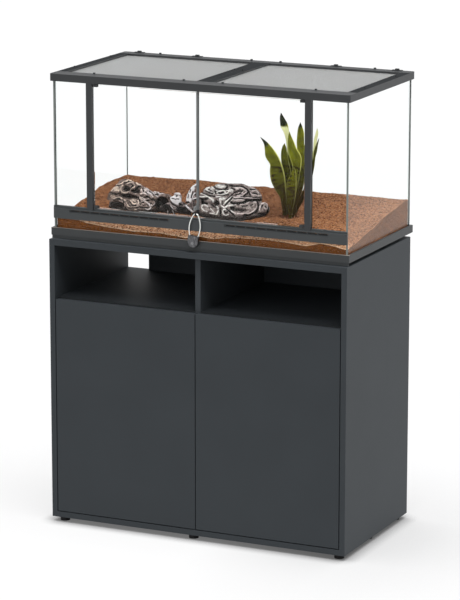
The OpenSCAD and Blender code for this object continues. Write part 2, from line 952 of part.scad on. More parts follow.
module mesh_net(side) {
    size = mesh_high() - mesh_low();
    pitch_x = (size[0] - mesh_bar) / mesh_gaps_across;
    pitch_y = (size[1] - mesh_bar) / mesh_gaps_along;
    color(steel)
        on_side(side)
            translate(mesh_low())
                linear_extrude(mesh_thickness)
                    difference() {
                        square([size[0], size[1]]);
                        for (i = [0:mesh_gaps_across - 1], j = [0:mesh_gaps_along - 1])
                            translate([mesh_bar + i * pitch_x, mesh_bar + j * pitch_y])
                                square([pitch_x - mesh_bar, pitch_y - mesh_bar]);
                    }
}

// ---- Cable slides ----

module cable_slide(number) {
    plate_width = rear_strip - 2;
    knob = [12, 8, 4];
    color(black)
        translate([slide_places[number - 1], y_slide, z_top]) {
            block([-slide_length / 2, -plate_width / 2, 0],
                  [slide_length / 2, plate_width / 2, slide_thickness]);
            block([-slide_length / 2, -guide_width / 2 + fit, -guide_depth + fit],
                  [slide_length / 2, guide_width / 2 - fit, 0]);
            translate([0, 0, slide_thickness + knob[2] / 2])
                cube(knob, center = true);
        }
}

// ---- Contents ----

module sand_bed() {
    color(sand_brown)
        along_x(-x_tank + glass + soft_gap, x_tank - glass - soft_gap)
            polygon(concat([[sand_low, z_floor]], sand_points, [[sand_high, z_floor]]));
}

// Everything below the sand's surface, to seat what lies on it
module below_sand() {
    along_x(-x_tank, x_tank)
        polygon(concat([[sand_low, z_floor - 50]], sand_points, [[sand_high, z_floor - 50]]));
}

// A lump through several balls, each [x, y, height over the sand, radius]
module lump(balls) {
    hull()
        for (b = balls)
            translate([b[0], b[1], stone_bed + b[2]])
                sphere(r = b[3], $fn = 20);
}

stone_bed = lookup(-40, sand_points);
stone_left_back_balls = [
    [-393, 0, 8, 36], [-352, -22, 44, 38], [-300, -42, 30, 36], [-262, -55, 24, 34], [-228, -66, 8, 30],
];
stone_left_front_balls = [[-356, -78, 4, 28], [-300, -88, 0, 30], [-252, -92, -4, 28]];
stone_right_back_balls = [
    [-52, -45, 36, 38], [-28, 0, 50, 38], [30, 8, 54, 38], [76, -6, 48, 36], [88, -52, 10, 34],
];
stone_right_front_balls = [[-44, -72, 6, 32], [18, -84, 2, 34], [66, -78, 0, 30]];
stone_right_end_balls = [[108, -40, 0, 24], [124, -20, 10, 24]];
driftwood_slab_balls = [[-166, -62, 30, 18], [-148, -72, 22, 18]];
driftwood_low_balls = [[-160, -78, 0, 20], [-112, -96, -4, 14]];
driftwood_arm_balls = [[-136, -82, 8, 13], [-108, -56, 62, 10]];

module stone_left() {
    color(bark)
        difference() {
            union() {
                lump(stone_left_back_balls);
                lump(stone_left_front_balls);
            }
            below_sand();
        }
}

module stone_right() {
    color(bark)
        difference() {
            union() {
                lump(stone_right_back_balls);
                lump(stone_right_front_balls);
                lump(stone_right_end_balls);
            }
            below_sand();
        }
}

module driftwood() {
    color(bark)
        difference() {
            union() {
                lump(driftwood_slab_balls);
                lump(driftwood_low_balls);
                lump(driftwood_arm_balls);
            }
            below_sand();
        }
}

// Leaves as [tip's x and y from the root, height as a share of the tallest, width, turn]
plant_leaves = [
    [-36, 6, 1.0, 30, 20], [29, 14, 0.92, 28, 0], [-6, -10, 0.83, 30, 40], [-100, 0, 0.74, 40, 10],
    [-25, 34, 0.67, 30, -20], [6, -30, 0.48, 30, 30], [43, -8, 0.51, 26, 15], [87, 12, 0.87, 20, 30],
    [94, 30, 0.79, 18, 10],
];
plant_place = [204, 5];
plant_base = lookup(plant_place[1], sand_points) - 8;
plant_tall = min(plant_height, z_under_frame - plant_base - 10);

module leaf(height, width) {
    rotate([90, 0, 0])
        linear_extrude(3, center = true)
            polygon([[-width * 0.18, 0], [width * 0.18, 0], [width * 0.42, height * 0.3],
                     [width * 0.5, height * 0.55], [width * 0.36, height * 0.82], [0, height],
                     [-width * 0.36, height * 0.82], [-width * 0.5, height * 0.55],
                     [-width * 0.42, height * 0.3]]);
}

module plant() {
    color(leaf_green)
        difference() {
            translate([plant_place[0], plant_place[1], plant_base]) {
                for (l = plant_leaves) {
                    aim = atan2(l[1], l[0]);
                    reach = norm([l[0], l[1]]);
                    rise = l[2] * plant_tall;
                    rotate([0, 0, aim])
                        rotate([0, atan(reach / rise), 0])
                            rotate([0, 0, l[4] - aim])
                                leaf(norm([reach, rise]), l[3]);
                }
                cylinder(d = 44, h = 20);
            }
            below_sand();
        }
}

cabinet_base_board();
cabinet_side(left);  // cabinet_side_left
cabinet_side(right);  // cabinet_side_right
cabinet_centre_partition();
cabinet_shelf(left);  // cabinet_shelf_left
cabinet_shelf(right);  // cabinet_shelf_right
cabinet_top_board();
rear_panels_upper();
rear_panels_lower();
cabinet_feet();
hinge_brackets();
hinge_pins();
hinge_screws();
cabinet_door(left);  // cabinet_door_left
cabinet_door(right);  // cabinet_door_right
push_latch_housings();
push_latch_plunger(left);  // push_latch_plunger_left
push_latch_plunger(right);  // push_latch_plunger_right
support_pads();
base_rail_front();
base_rail_rear();
base_rail_side(left);  // base_rail_left
base_rail_side(right);  // base_rail_right
floor_glass();
glass_rear();
glass_side(left);  // glass_left
glass_side(right);  // glass_right
glass_front_lower();
glass_front_narrow(left);  // glass_front_left
glass_front_narrow(right);  // glass_front_right
vent_rail();
vent_rail_caps();
door_post(left);  // door_post_left
door_post(right);  // door_post_right
glass_door(left);  // glass_door_left
glass_door(right);  // glass_door_right
door_clamps(left);  // door_clamps_left
door_clamps(right);  // door_clamps_right
edge_strip(left);  // edge_strip_left
edge_strip(right);  // edge_strip_right
padlock_shackle();
padlock_case();
top_rail_front();
top_rail_rear();
top_rail_side(left);  // top_rail_left
top_rail_side(right);  // top_rail_right
top_crossbar();
mesh_rim(left);  // mesh_rim_left
mesh_rim(right);  // mesh_rim_right
mesh_net(left);  // mesh_net_left
mesh_net(right);  // mesh_net_right
cable_slide(1);  // cable_slide_1
cable_slide(2);  // cable_slide_2
cable_slide(3);  // cable_slide_3
cable_slide(4);  // cable_slide_4
sand_bed();
stone_left();
stone_right();
driftwood();
plant();
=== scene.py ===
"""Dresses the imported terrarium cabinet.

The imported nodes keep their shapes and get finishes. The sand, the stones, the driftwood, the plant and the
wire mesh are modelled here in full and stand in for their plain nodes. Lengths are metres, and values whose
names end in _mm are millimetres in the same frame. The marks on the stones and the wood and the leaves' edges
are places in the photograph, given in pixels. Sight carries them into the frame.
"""

import itertools
import logging
import math
from collections.abc import Callable, Iterable, Sequence
from dataclasses import dataclass, field
from enum import Enum

import bmesh
import bpy
import numpy as np
from mathutils import Matrix, Vector


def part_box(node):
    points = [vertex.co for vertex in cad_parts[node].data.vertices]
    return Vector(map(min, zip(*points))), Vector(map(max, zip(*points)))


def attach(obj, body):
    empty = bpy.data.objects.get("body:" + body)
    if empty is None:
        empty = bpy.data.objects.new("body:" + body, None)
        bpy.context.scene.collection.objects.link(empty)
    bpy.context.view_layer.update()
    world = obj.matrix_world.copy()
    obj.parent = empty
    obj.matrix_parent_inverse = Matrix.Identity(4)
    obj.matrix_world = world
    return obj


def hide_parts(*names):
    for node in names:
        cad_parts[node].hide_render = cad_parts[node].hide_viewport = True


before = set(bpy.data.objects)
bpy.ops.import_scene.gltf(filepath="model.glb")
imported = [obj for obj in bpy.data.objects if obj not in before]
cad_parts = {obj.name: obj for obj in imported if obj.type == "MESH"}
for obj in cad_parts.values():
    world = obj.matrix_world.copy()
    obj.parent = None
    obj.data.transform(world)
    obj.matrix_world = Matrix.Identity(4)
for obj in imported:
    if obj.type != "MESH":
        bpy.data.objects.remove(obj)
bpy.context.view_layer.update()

MM = 0.001
HOUSING = "housing"
Color = tuple[float, float, float]
Point = tuple[float, float, float]
Socket = bpy.types.NodeSocket
Node = bpy.types.Node
Mesh = bpy.types.Mesh
Material = bpy.types.Material
log = logging.getLogger("terrarium")


class Side(Enum):
    """The two mirrored sides, as signs of X."""

    LEFT = -1
    RIGHT = 1

    @property
    def word(self) -> str:
        """The side's name as it stands in the names of nodes and bodies."""
        return self.name.lower()


class Slot(Enum):
    """Material slots of the record."""

    BOARD = "board"
    FRAME = "frame"
    GLASS = "glass"
    STEEL = "steel"
    SHACKLE = "shackle_steel"
    PADLOCK = "padlock_steel"
    MESH = "mesh"
    FOOT = "foot"
    RUBBER = "rubber"
    BLACK = "black_plastic"
    WHITE = "white_plastic"
    SAND = "sand"
    STONE = "bark_stone"
    WOOD = "driftwood"
    LEAF = "leaf"


def srgb(red: float, green: float, blue: float) -> Color:
    """Turns a colour of 0 to 255 per channel into linear light.

    Args:
        red: Red channel.
        green: Green channel.
        blue: Blue channel.

    Returns:
        The linear colour.
    """
    values = []
    for channel in (red, green, blue):
        share = channel / 255
        values.append(share / 12.92 if share <= 0.04045 else ((share + 0.055) / 1.055) ** 2.4)
    return (values[0], values[1], values[2])


@dataclass(frozen=True)
class Sight:
    """The photograph's camera, which also carries places in the picture onto an upright plane."""

    place_mm: Point = (4038.966, -8662.794, 2911.799)
    yaw: float = 24.998
    pitch: float = 12.926
    roll: float = 0.0218
    focal_pixels: float = 3119.104
    picture: tuple[float, float] = (460.0, 600.0)

    def axes(self) -> tuple[np.ndarray, np.ndarray, np.ndarray]:
        """The camera's right, up and forward directions."""
        yaw, pitch, roll = (math.radians(v) for v in (self.yaw, self.pitch, self.roll))
        level = np.array([-math.sin(yaw), math.cos(yaw), 0.0])
        ahead = math.cos(pitch) * level - math.sin(pitch) * np.array([0.0, 0.0, 1.0])
        right = np.array([math.cos(yaw), math.sin(yaw), 0.0])
        up = np.cross(right, ahead)
        tilted_right = math.cos(roll) * right + math.sin(roll) * up
        tilted_up = math.cos(roll) * up - math.sin(roll) * right
        return tilted_right, tilted_up, ahead

    def meet(self, across: float, down: float, y_mm: float) -> tuple[int, int]:
        """Carries a place in the picture onto the upright plane at y.

        Args:
            across: Pixels from the picture's left edge.
            down: Pixels from its upper edge.
            y_mm: The plane's place, in millimetres.

        Returns:
            X and Z on the plane, in whole millimetres.
        """
        right, up, ahead = self.axes()
        beside = right * (across - self.picture[0] / 2) - up * (down - self.picture[1] / 2)
        ray = ahead + beside / self.focal_pixels
        place = np.array(self.place_mm)
        hit = place + ray * (y_mm - place[1]) / ray[1]
        return round(float(hit[0])), round(float(hit[2]))


SIGHT = Sight()


# ---- Noise on arrays of points ----


def lattice_values(cells: np.ndarray, seed: int) -> np.ndarray:
    """Gives each whole-numbered cell a fixed value.

    Args:
        cells: Integer cell numbers, one row of three per point.
        seed: Chooses another set of values.

    Returns:
        One value from 0 to 1 for each row.
    """
    x, y, z = cells.T
    mixed = (x * 73856093) ^ (y * 19349663) ^ (z * 83492791) ^ (seed * 2654435761)
    mixed = (mixed ^ (mixed >> 13)) * 1274126177
    return ((mixed ^ (mixed >> 16)) & 0xFFFF) / 65535.0


def smooth_noise(points: np.ndarray, size: float, seed: int) -> np.ndarray:
    """Smooth noise in space.

    Args:
        points: One row of three coordinates per point.
        size: Width of a swell, in the points' unit.
        seed: Chooses another pattern.

    Returns:
        One value from -1 to 1 for each point.
    """
    scaled = points / size
    base = np.floor(scaled).astype(np.int64)
    share = scaled - base
    share = share * share * (3 - 2 * share)
    total = np.zeros(len(points))
    for corner in itertools.product((0, 1), repeat=3):
        step = np.array(corner)
        weight = np.prod(np.where(step == 1, share, 1 - share), axis=1)
        total += weight * lattice_values(base + step, seed)
    return total * 2 - 1


def rough_noise(points: np.ndarray, size: float, seed: int, layers: int = 4, gain: float = 0.5) -> np.ndarray:
    """Several layers of smooth noise, each half as wide as the one before.

    Args:
        points: One row of three coordinates per point.
        size: Width of the largest swells.
        seed: Chooses another pattern.
        layers: Number of layers.
        gain: Height of a layer as a share of the one before.

    Returns:
        One value, from about -1 to 1, for each point.
    """
    total = np.zeros(len(points))
    height = 1.0
    full = 0.0
    for layer in range(layers):
        total += height * smooth_noise(points, size / 2**layer, seed + layer)
        full += height
        height *= gain
    return total / full


def cell_borders(points: np.ndarray, size: float, seed: int) -> tuple[np.ndarray, np.ndarray]:
    """Splits space into rounded cells and measures how far each point is from a border.

    Args:
        points: One row of three coordinates per point.
        size: Width of a cell.
        seed: Chooses another set of cells.

    Returns:
        The distance to the nearest border, as a share of a cell, and a value from 0 to 1 that is the same all
        over a cell.
    """
    scaled = points / size
    base = np.floor(scaled).astype(np.int64)
    nearest = np.full(len(points), 9.0)
    second = np.full(len(points), 9.0)
    tone = np.zeros(len(points))
    for step in itertools.product((-1, 0, 1), repeat=3):
        cell = base + np.array(step)
        place = cell + np.stack([lattice_values(cell, seed + n) for n in range(3)], axis=1)
        distance = np.linalg.norm(place - scaled, axis=1)
        closer = distance < nearest
        second = np.where(closer, nearest, np.minimum(second, distance))
        tone = np.where(closer, lattice_values(cell, seed + 7), tone)
        nearest = np.where(closer, distance, nearest)
    return second - nearest, tone


def bell(distance: np.ndarray, width: float) -> np.ndarray:
    """A smooth hump of height 1 at distance 0 that fades over the width."""
    return np.exp(-((distance / width) ** 2))


def smooth_step(values: np.ndarray, low: float, high: float) -> np.ndarray:
    """Rises smoothly from 0 at low to 1 at high."""
    share = np.clip((values - low) / (high - low), 0, 1)
    return share * share * (3 - 2 * share)


# ---- Shader building ----


def scaled(color: Color, share: float) -> Color:
    """A darker or paler version of a colour."""
    return tuple(c * share for c in color)


class Shader:
    """A material under construction, with short calls for the nodes that this object's finishes use."""

    def __init__(self, name: str) -> None:
        """Starts an empty material.

        Args:
            name: The material's name.
        """
        self.material = bpy.data.materials.new(name)
        self.material.use_nodes = True
        self.tree = self.material.node_tree
        self.tree.nodes.clear()
        self.output = self.tree.nodes.new("ShaderNodeOutputMaterial")
        self.place = self.tree.nodes.new("ShaderNodeTexCoord").outputs["Object"]

    def add(self, kind: str, **settings: object) -> Node:
        """Adds a node.

        Args:
            kind: The node's type.
            **settings: Attributes of the node.

        Returns:
            The node.
        """
        node = self.tree.nodes.new(kind)
        for key, value in settings.items():
            setattr(node, key, value)
        return node

    def feed(self, socket: Socket, value: object) -> None:
        """Links an output to the socket, or sets the socket's own value."""
        if isinstance(value, Socket):
            self.tree.links.new(value, socket)
        elif isinstance(value, tuple) and len(value) == 3 and socket.type == "RGBA":
            socket.default_value = (*value, 1.0)
        else:
            socket.default_value = value

    def stretched(self, scale: Point, source: Socket | None = None) -> Socket:
        """Coordinates stretched along the axes."""
        node = self.add("ShaderNodeMapping")
        self.feed(node.inputs["Vector"], source or self.place)
        node.inputs["Scale"].default_value = scale
        return node.outputs[0]

    def noise(self, scale: float, detail: float = 3.0, rough: float = 0.55,
              source: Socket | None = None) -> Socket:
        """Noise from 0 to 1.

        Args:
            scale: Swells per metre.
            detail: Number of finer layers.
            rough: Strength of the finer layers.
            source: Coordinates, or the object's own.

        Returns:
            The noise's output.
        """
        node = self.add("ShaderNodeTexNoise")
        self.feed(node.inputs["Vector"], source or self.place)
        node.inputs["Scale"].default_value = scale
        node.inputs["Detail"].default_value = detail
        node.inputs["Roughness"].default_value = rough
        return node.outputs[0]

    def band(self, value: Socket, low: float, high: float, to_low: float = 0.0,
             to_high: float = 1.0) -> Socket:
        """Maps a range of a value to another range, clamped."""
        node = self.add("ShaderNodeMapRange", clamp=True)
        self.feed(node.inputs["Value"], value)
        for key, number in (("From Min", low), ("From Max", high), ("To Min", to_low), ("To Max", to_high)):
            node.inputs[key].default_value = number
        return node.outputs[0]

    def math(self, operation: str, first: object, second: object = 0.5) -> Socket:
        """One arithmetic step."""
        node = self.add("ShaderNodeMath", operation=operation)
        self.feed(node.inputs[0], first)
        self.feed(node.inputs[1], second)
        return node.outputs[0]

    def times(self, first: object, second: object) -> Socket:
        """The product of two numbers."""
        return self.math("MULTIPLY", first, second)

    def split(self, source: Socket | None = None) -> Sequence[Socket]:
        """The three numbers of a vector, or of the object's own coordinates."""
        node = self.add("ShaderNodeSeparateXYZ")
        self.feed(node.inputs[0], source or self.place)
        return node.outputs

    def facing(self) -> Sequence[Socket]:
        """The three numbers of the surface's direction."""
        return self.split(self.add("ShaderNodeTexCoord").outputs["Normal"])

    def blend(self, share: object, first: Node, second: Node) -> None:
        """Ends the material in a blend of two shader nodes."""
        both = self.add("ShaderNodeMixShader")
        for socket, value in zip(both.inputs, (share, first.outputs[0], second.outputs[0])):
            self.feed(socket, value)
        self.tree.links.new(both.outputs[0], self.output.inputs["Surface"])

    def mix(self, share: object, first: object, second: object, kind: str = "MIX") -> Socket:
        """Blends two colours."""
        node = self.add("ShaderNodeMix", data_type="RGBA", blend_type=kind)
        self.feed(node.inputs[0], share)
        self.feed(node.inputs[6], first)
        self.feed(node.inputs[7], second)
        return node.outputs[2]

    def attribute(self, name: str) -> Socket:
        """A number stored on the piece's points."""
        return self.add("ShaderNodeAttribute", attribute_name=name).outputs["Fac"]

    def bump(self, height: Socket, distance: float, strength: float = 1.0,
             under: Socket | None = None) -> Socket:
        """A bumped normal.

        Args:
            height: The height's output, from 0 to 1.
            distance: Height of 1, in metres.
            strength: Share of the full effect.
            under: A bumped normal to build on.

        Returns:
            The normal's output.
        """
        node = self.add("ShaderNodeBump")
        self.feed(node.inputs["Height"], height)
        node.inputs["Distance"].default_value = distance
        node.inputs["Strength"].default_value = strength
        if under is not None:
            self.feed(node.inputs["Normal"], under)
        return node.outputs[0]

    def surface(self, color: object, roughness: object, **others: object) -> Node:
        """The main shader node, linked to the output.

        Args:
            color: Base colour.
            roughness: Roughness.
            **others: Further sockets, with spaces written as underscores.

        Returns:
            The shader node.
        """
        node = self.add("ShaderNodeBsdfPrincipled")
        self.feed(node.inputs["Base Color"], color)
        self.feed(node.inputs["Roughness"], roughness)
        for key, value in others.items():
            self.feed(node.inputs[key.replace("_", " ")], value)
        self.tree.links.new(node.outputs[0], self.output.inputs["Surface"])
        return node


# ---- Finishes ----


@dataclass(frozen=True)
class BoardFinish:
    """Melamine-faced chipboard in anthracite, with a fine pearled surface."""

    name: str = "anthracite_board"
    color: Color = (0.0458, 0.0530, 0.0595)
    roughness: float = 0.55
    specular: float = 0.25
    pearl_scale: float = 850.0
    pearl_depth: float = 0.00005
    front_share: float = 1.0
    front_from: float = -0.235
    front_to: float = -0.150

    def build(self) -> Material:
        """Builds the material."""
        shader = Shader(self.name)
        cloud = shader.band(shader.noise(5.0, 2.0), 0.3, 0.7)
        dark = scaled(self.color, 0.95)
        pale = scaled(self.color, 1.05)
        speck = shader.band(shader.noise(self.pearl_scale, 2.0), 0.35, 0.65)
        tint = shader.mix(cloud, dark, pale)
        tint = shader.mix(shader.times(speck, 0.14), tint, scaled(self.color, 1.5))
        # Painted shade: below a front_share of 1, the board darkens towards its front edge.
        if self.front_share < 1:
            shaded = shader.band(shader.split()[1], self.front_from, self.front_to, 1 - self.front_share, 0.0)
            tint = shader.mix(shaded, tint, (0.0, 0.0, 0.0))
        rough = shader.band(speck, 0.0, 1.0, self.roughness - 0.05, self.roughness + 0.05)
        normal = shader.bump(speck, self.pearl_depth, 0.5)
        shader.surface(tint, rough, Normal=normal, Specular_IOR_Level=self.specular)
        return shader.material


@dataclass(frozen=True)
class PaintedFinish:
    """Satin grey of extruded frame profiles and moulded plastics, with a faint grain and uneven gloss."""

    name: str
    color: Color
    roughness: float = 0.45
    specular: float = 0.3
    grain_scale: float = 1400.0
    grain_depth: float = 0.00004
    streak: float = 0.06
    # lip: where given, a painted highlight on the upward face before the glass.
    lip: Color | None = None
    lip_before: float = -0.2326
    foot: Color | None = None
    foot_below: float = 1.049

    def on_foot(self, shader: Shader) -> Socket:
        """Where the profile ends in its moulded foot, low down."""
        return shader.band(shader.split()[2], self.foot_below, self.foot_below + 0.0005, 1.0, 0.0)

    def lip_highlight_mask(self, shader: Shader) -> Socket:
        """Where the profile's upward face stands before the glass, which the lip colour paints with a
        highlight.
        """
        before = shader.band(shader.split()[1], self.lip_before, self.lip_before + 0.0001, 1.0, 0.0)
        return shader.times(shader.band(shader.facing()[2], 0.6, 0.8), before)

    def build(self) -> Material:
        """Builds the material."""
        shader = Shader(self.name)
        cloud = shader.band(shader.noise(9.0, 3.0), 0.3, 0.7)
        drawn = shader.band(shader.noise(60.0, 3.0, source=shader.stretched((0.15, 1.0, 4.0))), 0.3, 0.7)
        tint = shader.mix(cloud, scaled(self.color, 1 - self.streak),
                          scaled(self.color, 1 + self.streak))
        tint = shader.mix(shader.times(drawn, 0.25), tint, scaled(self.color, 1.12))
        # Painted highlight along the front upper face.
        if self.lip is not None:
            tint = shader.mix(self.lip_highlight_mask(shader), tint, self.lip)
        if self.foot is not None:
            tint = shader.mix(self.on_foot(shader), tint, self.foot)
        grain = shader.noise(self.grain_scale, 2.0)
        rough = shader.band(grain, 0.3, 0.7, self.roughness - 0.06, self.roughness + 0.06)
        normal = shader.bump(grain, self.grain_depth, 0.4)
        shader.surface(tint, rough, Normal=normal, Specular_IOR_Level=self.specular)
        return shader.material


@dataclass(frozen=True)
class FrameFinish:
    """Satin grey of the top frame: duller on top, dullest on the side rails and middle, with painted shade on
    their tops and painted light on side faces.
    """

    name: str
    color: Color
    roughness: float = 0.45
    face_specular: float = 0.3
    top_specular: float = 0.12
    strip_specular: float = 0.0
    strip_painted_shade: float = 0.85
    flank_painted_light: float = 1.25
    strip_beyond: float = 0.4735
    strip_within: float = 0.0265
    strip_front: float = -0.188
    strip_rear: float = 0.238
    blend: float = 0.001
    grain_scale: float = 1400.0
    grain_depth: float = 0.00004

    def build(self) -> Material:
        """Builds the material."""
        shader = Shader(self.name)
        facing = shader.facing()
        place = shader.split()
        upward = shader.band(facing[2], 0.6, 0.8)
        flank = shader.band(shader.math("ABSOLUTE", facing[0]), 0.6, 0.8)
        off = shader.math("ABSOLUTE", place[0])
        outer = shader.band(off, self.strip_beyond, self.strip_beyond + self.blend)
        middle = shader.band(off, self.strip_within, self.strip_within + self.blend, 1.0, 0.0)
        strip = shader.math("MAXIMUM", outer, middle)
        behind = shader.band(place[1], self.strip_front, self.strip_front + self.blend)
        before = shader.band(place[1], self.strip_rear, self.strip_rear + self.blend, 1.0, 0.0)
        strip = shader.times(shader.times(strip, behind), before)
        strip = shader.times(strip, upward)
        cloud = shader.band(shader.noise(9.0, 3.0), 0.3, 0.7)
        tint = shader.mix(cloud, scaled(self.color, 0.95), scaled(self.color, 1.08))
        # Painted shade on the upward faces of the side rails and the middle; painted light on faces towards the
        # sides.
        tint = shader.mix(shader.times(strip, 1 - self.strip_painted_shade), tint, (0.0, 0.0, 0.0))
        tint = shader.mix(flank, tint, scaled(self.color, self.flank_painted_light))
        specular = shader.band(upward, 0.0, 1.0, self.face_specular, self.top_specular)
        specular = shader.times(specular, shader.band(strip, 0.0, 1.0, 1.0, self.strip_specular))
        grain = shader.noise(self.grain_scale, 2.0)
        rough = shader.band(grain, 0.3, 0.7, self.roughness - 0.06, self.roughness + 0.06)
        normal = shader.bump(grain, self.grain_depth, 0.4)
        shader.surface(tint, rough, Normal=normal, Specular_IOR_Level=specular)
        return shader.material


@dataclass(frozen=True)
class MetalFinish:
    """Drawn or brushed steel, with fine streaks along one axis."""

    name: str
    color: Color
    roughness: float = 0.3
    streaks: Point = (1.0, 1.0, 0.05)
    streak_scale: float = 2500.0
    contrast: float = 0.15

    def build(self) -> Material:
        """Builds the material."""
        shader = Shader(self.name)
        streaks = shader.noise(self.streak_scale, 2.0, source=shader.stretched(self.streaks))
        drawn = shader.band(streaks, 0.3, 0.7)
        tint = shader.mix(drawn, scaled(self.color, 1 - self.contrast), self.color)
        rough = shader.band(drawn, 0.0, 1.0, self.roughness - 0.06, self.roughness + 0.08)
        shader.surface(tint, rough, Metallic=1.0)
        return shader.material


@dataclass(frozen=True)
class GlassFinish:
    """Clear float glass, with a low index so that the white studio doesn't veil what stands behind it.

    Shadow rays pass, so that the lamps reach what stands behind it.
    """

    name: str = "clear_glass"
    tint: Color = (0.985, 0.995, 0.992)
    shade: Color = (0.93, 0.95, 0.945)
    refraction: float = 1.14

    def build(self) -> Material:
        """Builds the material."""
        shader = Shader(self.name)
        body = shader.surface(self.tint, 0.0, Transmission_Weight=1.0, IOR=self.refraction)
        clear = shader.add("ShaderNodeBsdfTransparent")
        clear.inputs["Color"].default_value = (*self.shade, 1.0)
        shader.blend(shader.add("ShaderNodeLightPath").outputs["Is Shadow Ray"], body, clear)
        return shader.material


@dataclass(frozen=True)
class GauzeFinish:
    """Dark woven gauze in the ventilation slots."""

    name: str = "slot_gauze"
    color: Color = (0.012, 0.013, 0.014)
    thread: Color = (0.034, 0.037, 0.038)
    threads_per_metre: float = 1100.0

    def build(self) -> Material:
        """Builds the material."""
        shader = Shader(self.name)
        across = shader.add("ShaderNodeTexWave", bands_direction="X")
        upright = shader.add("ShaderNodeTexWave", bands_direction="Z")
        for wave in (across, upright):
            shader.feed(wave.inputs["Vector"], shader.place)
            wave.inputs["Scale"].default_value = self.threads_per_metre / math.pi
        weave = shader.math("MAXIMUM", across.outputs[1], upright.outputs[1])
        shader.surface(shader.mix(shader.band(weave, 0.6, 0.95), self.color, self.thread), 0.7,
                       Specular_IOR_Level=0.2)
        return shader.material


@dataclass(frozen=True)
class SandFinish:
    """Red-brown coco sand, speckled on top, with painted shade on its faces pressed against the panes.

    The points' numbers say where it is pressed against glass, for the painted shade, and where its top is
    paler.
    """

    name: str
    dry: Color = srgb(136, 84, 50)
    deep: Color = srgb(100, 54, 29)
    pale: Color = srgb(197, 142, 101)
    spot: Color = srgb(56, 31, 17)
    root: Color = srgb(66, 30, 18)
    front_pale_tint: Color = srgb(198, 139, 99)
    fleck: Color = srgb(252, 218, 184)
    # Painted shade for the faces pressed against the front and side panes.
    damp: Color = srgb(118, 70, 33)
    pressed_side_shade: Color = srgb(107, 69, 43)
    patch_scale: float = 16.0
    clump_scale: float = 95.0
    grit_scale: float = 260.0

    def build(self) -> Material:
        """Builds the material."""
        shader = Shader(self.name)
        patch = shader.band(shader.noise(self.patch_scale, 4.0), 0.35, 0.68)
        clump = shader.band(shader.noise(self.clump_scale, 4.0, 0.65), 0.44, 0.62)
        grit = shader.band(shader.noise(self.grit_scale, 3.0, 0.7), 0.50, 0.66)
        pits = shader.band(shader.noise(self.clump_scale * 1.6, 3.0, 0.6, shader.stretched((1.0, 1.3, 0.9))),
                           0.53, 0.64)
        tint = shader.mix(patch, self.deep, self.dry)
        tint = shader.mix(shader.times(clump, 0.5), tint, self.pale)
        tint = shader.mix(shader.times(pits, 0.95), tint, self.spot)
        tint = shader.mix(shader.times(grit, 0.8), tint, self.pale)
        # Paler and flecked on top close to the front panes.
        front_pale = shader.times(shader.attribute("front_pale"), shader.band(pits, 0.0, 1.0, 0.95, 0.0))
        tint = shader.mix(front_pale, tint, self.front_pale_tint)
        flecks = shader.noise(self.grit_scale, 2.0, 0.6, shader.stretched((1.0, 1.4, 1.2)))
        flecks = shader.band(flecks, 0.54, 0.62)
        crest = shader.band(shader.attribute("front_pale"), 0.975, 0.997, 0.0, 0.7)
        tint = shader.mix(shader.times(crest, shader.band(pits, 0.0, 1.0, 1.0, 0.2)), tint, self.fleck)
        tint = shader.mix(shader.times(flecks, shader.attribute("front_pale")), tint, self.fleck)
        tint = shader.mix(shader.times(shader.attribute("root"), 0.85), tint, self.root)
        # Painted shade: the faces pressed against the panes take the darker pressed colours.
        pressed_shade_tint = shader.mix(shader.attribute("side"), self.damp, self.pressed_side_shade)
        pressed_shade_tint = shader.mix(shader.times(clump, 0.35), pressed_shade_tint, scaled(self.damp, 1.9))
        pressed_shade_tint = shader.mix(shader.times(pits, 0.4), pressed_shade_tint, self.spot)
        tint = shader.mix(shader.attribute("damp"), tint, pressed_shade_tint)
        height = shader.math("SUBTRACT", shader.times(clump, 0.6), shader.times(pits, 0.6))
        normal = shader.bump(height, 0.003, 0.9)
        shader.surface(tint, 0.95, Normal=normal, Specular_IOR_Level=0.1)
        return shader.material


@dataclass(frozen=True)
class GrainFinish:
    """Loose crumbs on the sand. The crumbs' number "tone" varies them from dark to pale."""

    name: str = "sand_crumbs"
    dark: Color = srgb(84, 45, 24)
    pale: Color = srgb(200, 147, 109)

    def build(self) -> Material:
        """Builds the material."""
        shader = Shader(self.name)
        tone = shader.attribute("tone")
        tint = shader.mix(shader.band(tone, 0.25, 0.95), self.dark, self.pale)
        spots = shader.band(shader.noise(900.0, 2.0), 0.35, 0.7)
        tint = shader.mix(shader.times(spots, 0.35), tint, scaled(self.dark, 0.6))
        shader.surface(tint, 0.95, Specular_IOR_Level=0.15)
        return shader.material


@dataclass(frozen=True)
class CarvedFinish:
    """Grooved bark, stone or driftwood.

    The points' numbers "groove", "rim", "tone" and "cool" say where it is dark or pale, and which pale it has.
    """

    name: str
    body: Color
    body_dark: Color
    pale: Color
    pale_cool: Color
    groove: Color = (0.006, 0.005, 0.004)
    rough: float = 0.8
    grain_scale: float = 300.0

    def build(self) -> Material:
        """Builds the material."""
        shader = Shader(self.name)
        grain = shader.band(shader.noise(self.grain_scale, 4.0, 0.65), 0.34, 0.66)
        veins = shader.band(shader.noise(90.0, 3.0, source=shader.stretched((0.6, 1.0, 1.9))), 0.36, 0.64)
        tint = shader.mix(shader.attribute("tone"), self.body_dark, self.body)
        tint = shader.mix(shader.times(veins, 0.35), tint, self.body_dark)
        tint = shader.mix(shader.times(grain, 0.35), tint, scaled(self.body_dark, 0.5))
        pale = shader.mix(shader.attribute("cool"), self.pale, self.pale_cool)
        rim = shader.times(shader.attribute("rim"), shader.band(grain, 0.0, 1.0, 1.0, 0.75))
        tint = shader.mix(rim, tint, pale)
        # Dark where grooves are cut, and painted shade in the hollows and towards the foot.
        tint = shader.mix(shader.attribute("groove"), tint, self.groove)
        normal = shader.bump(shader.math("ADD", grain, veins), 0.0008, 0.6)
        shader.surface(tint, self.rough, Normal=normal, Specular_IOR_Level=0.2)
        return shader.material


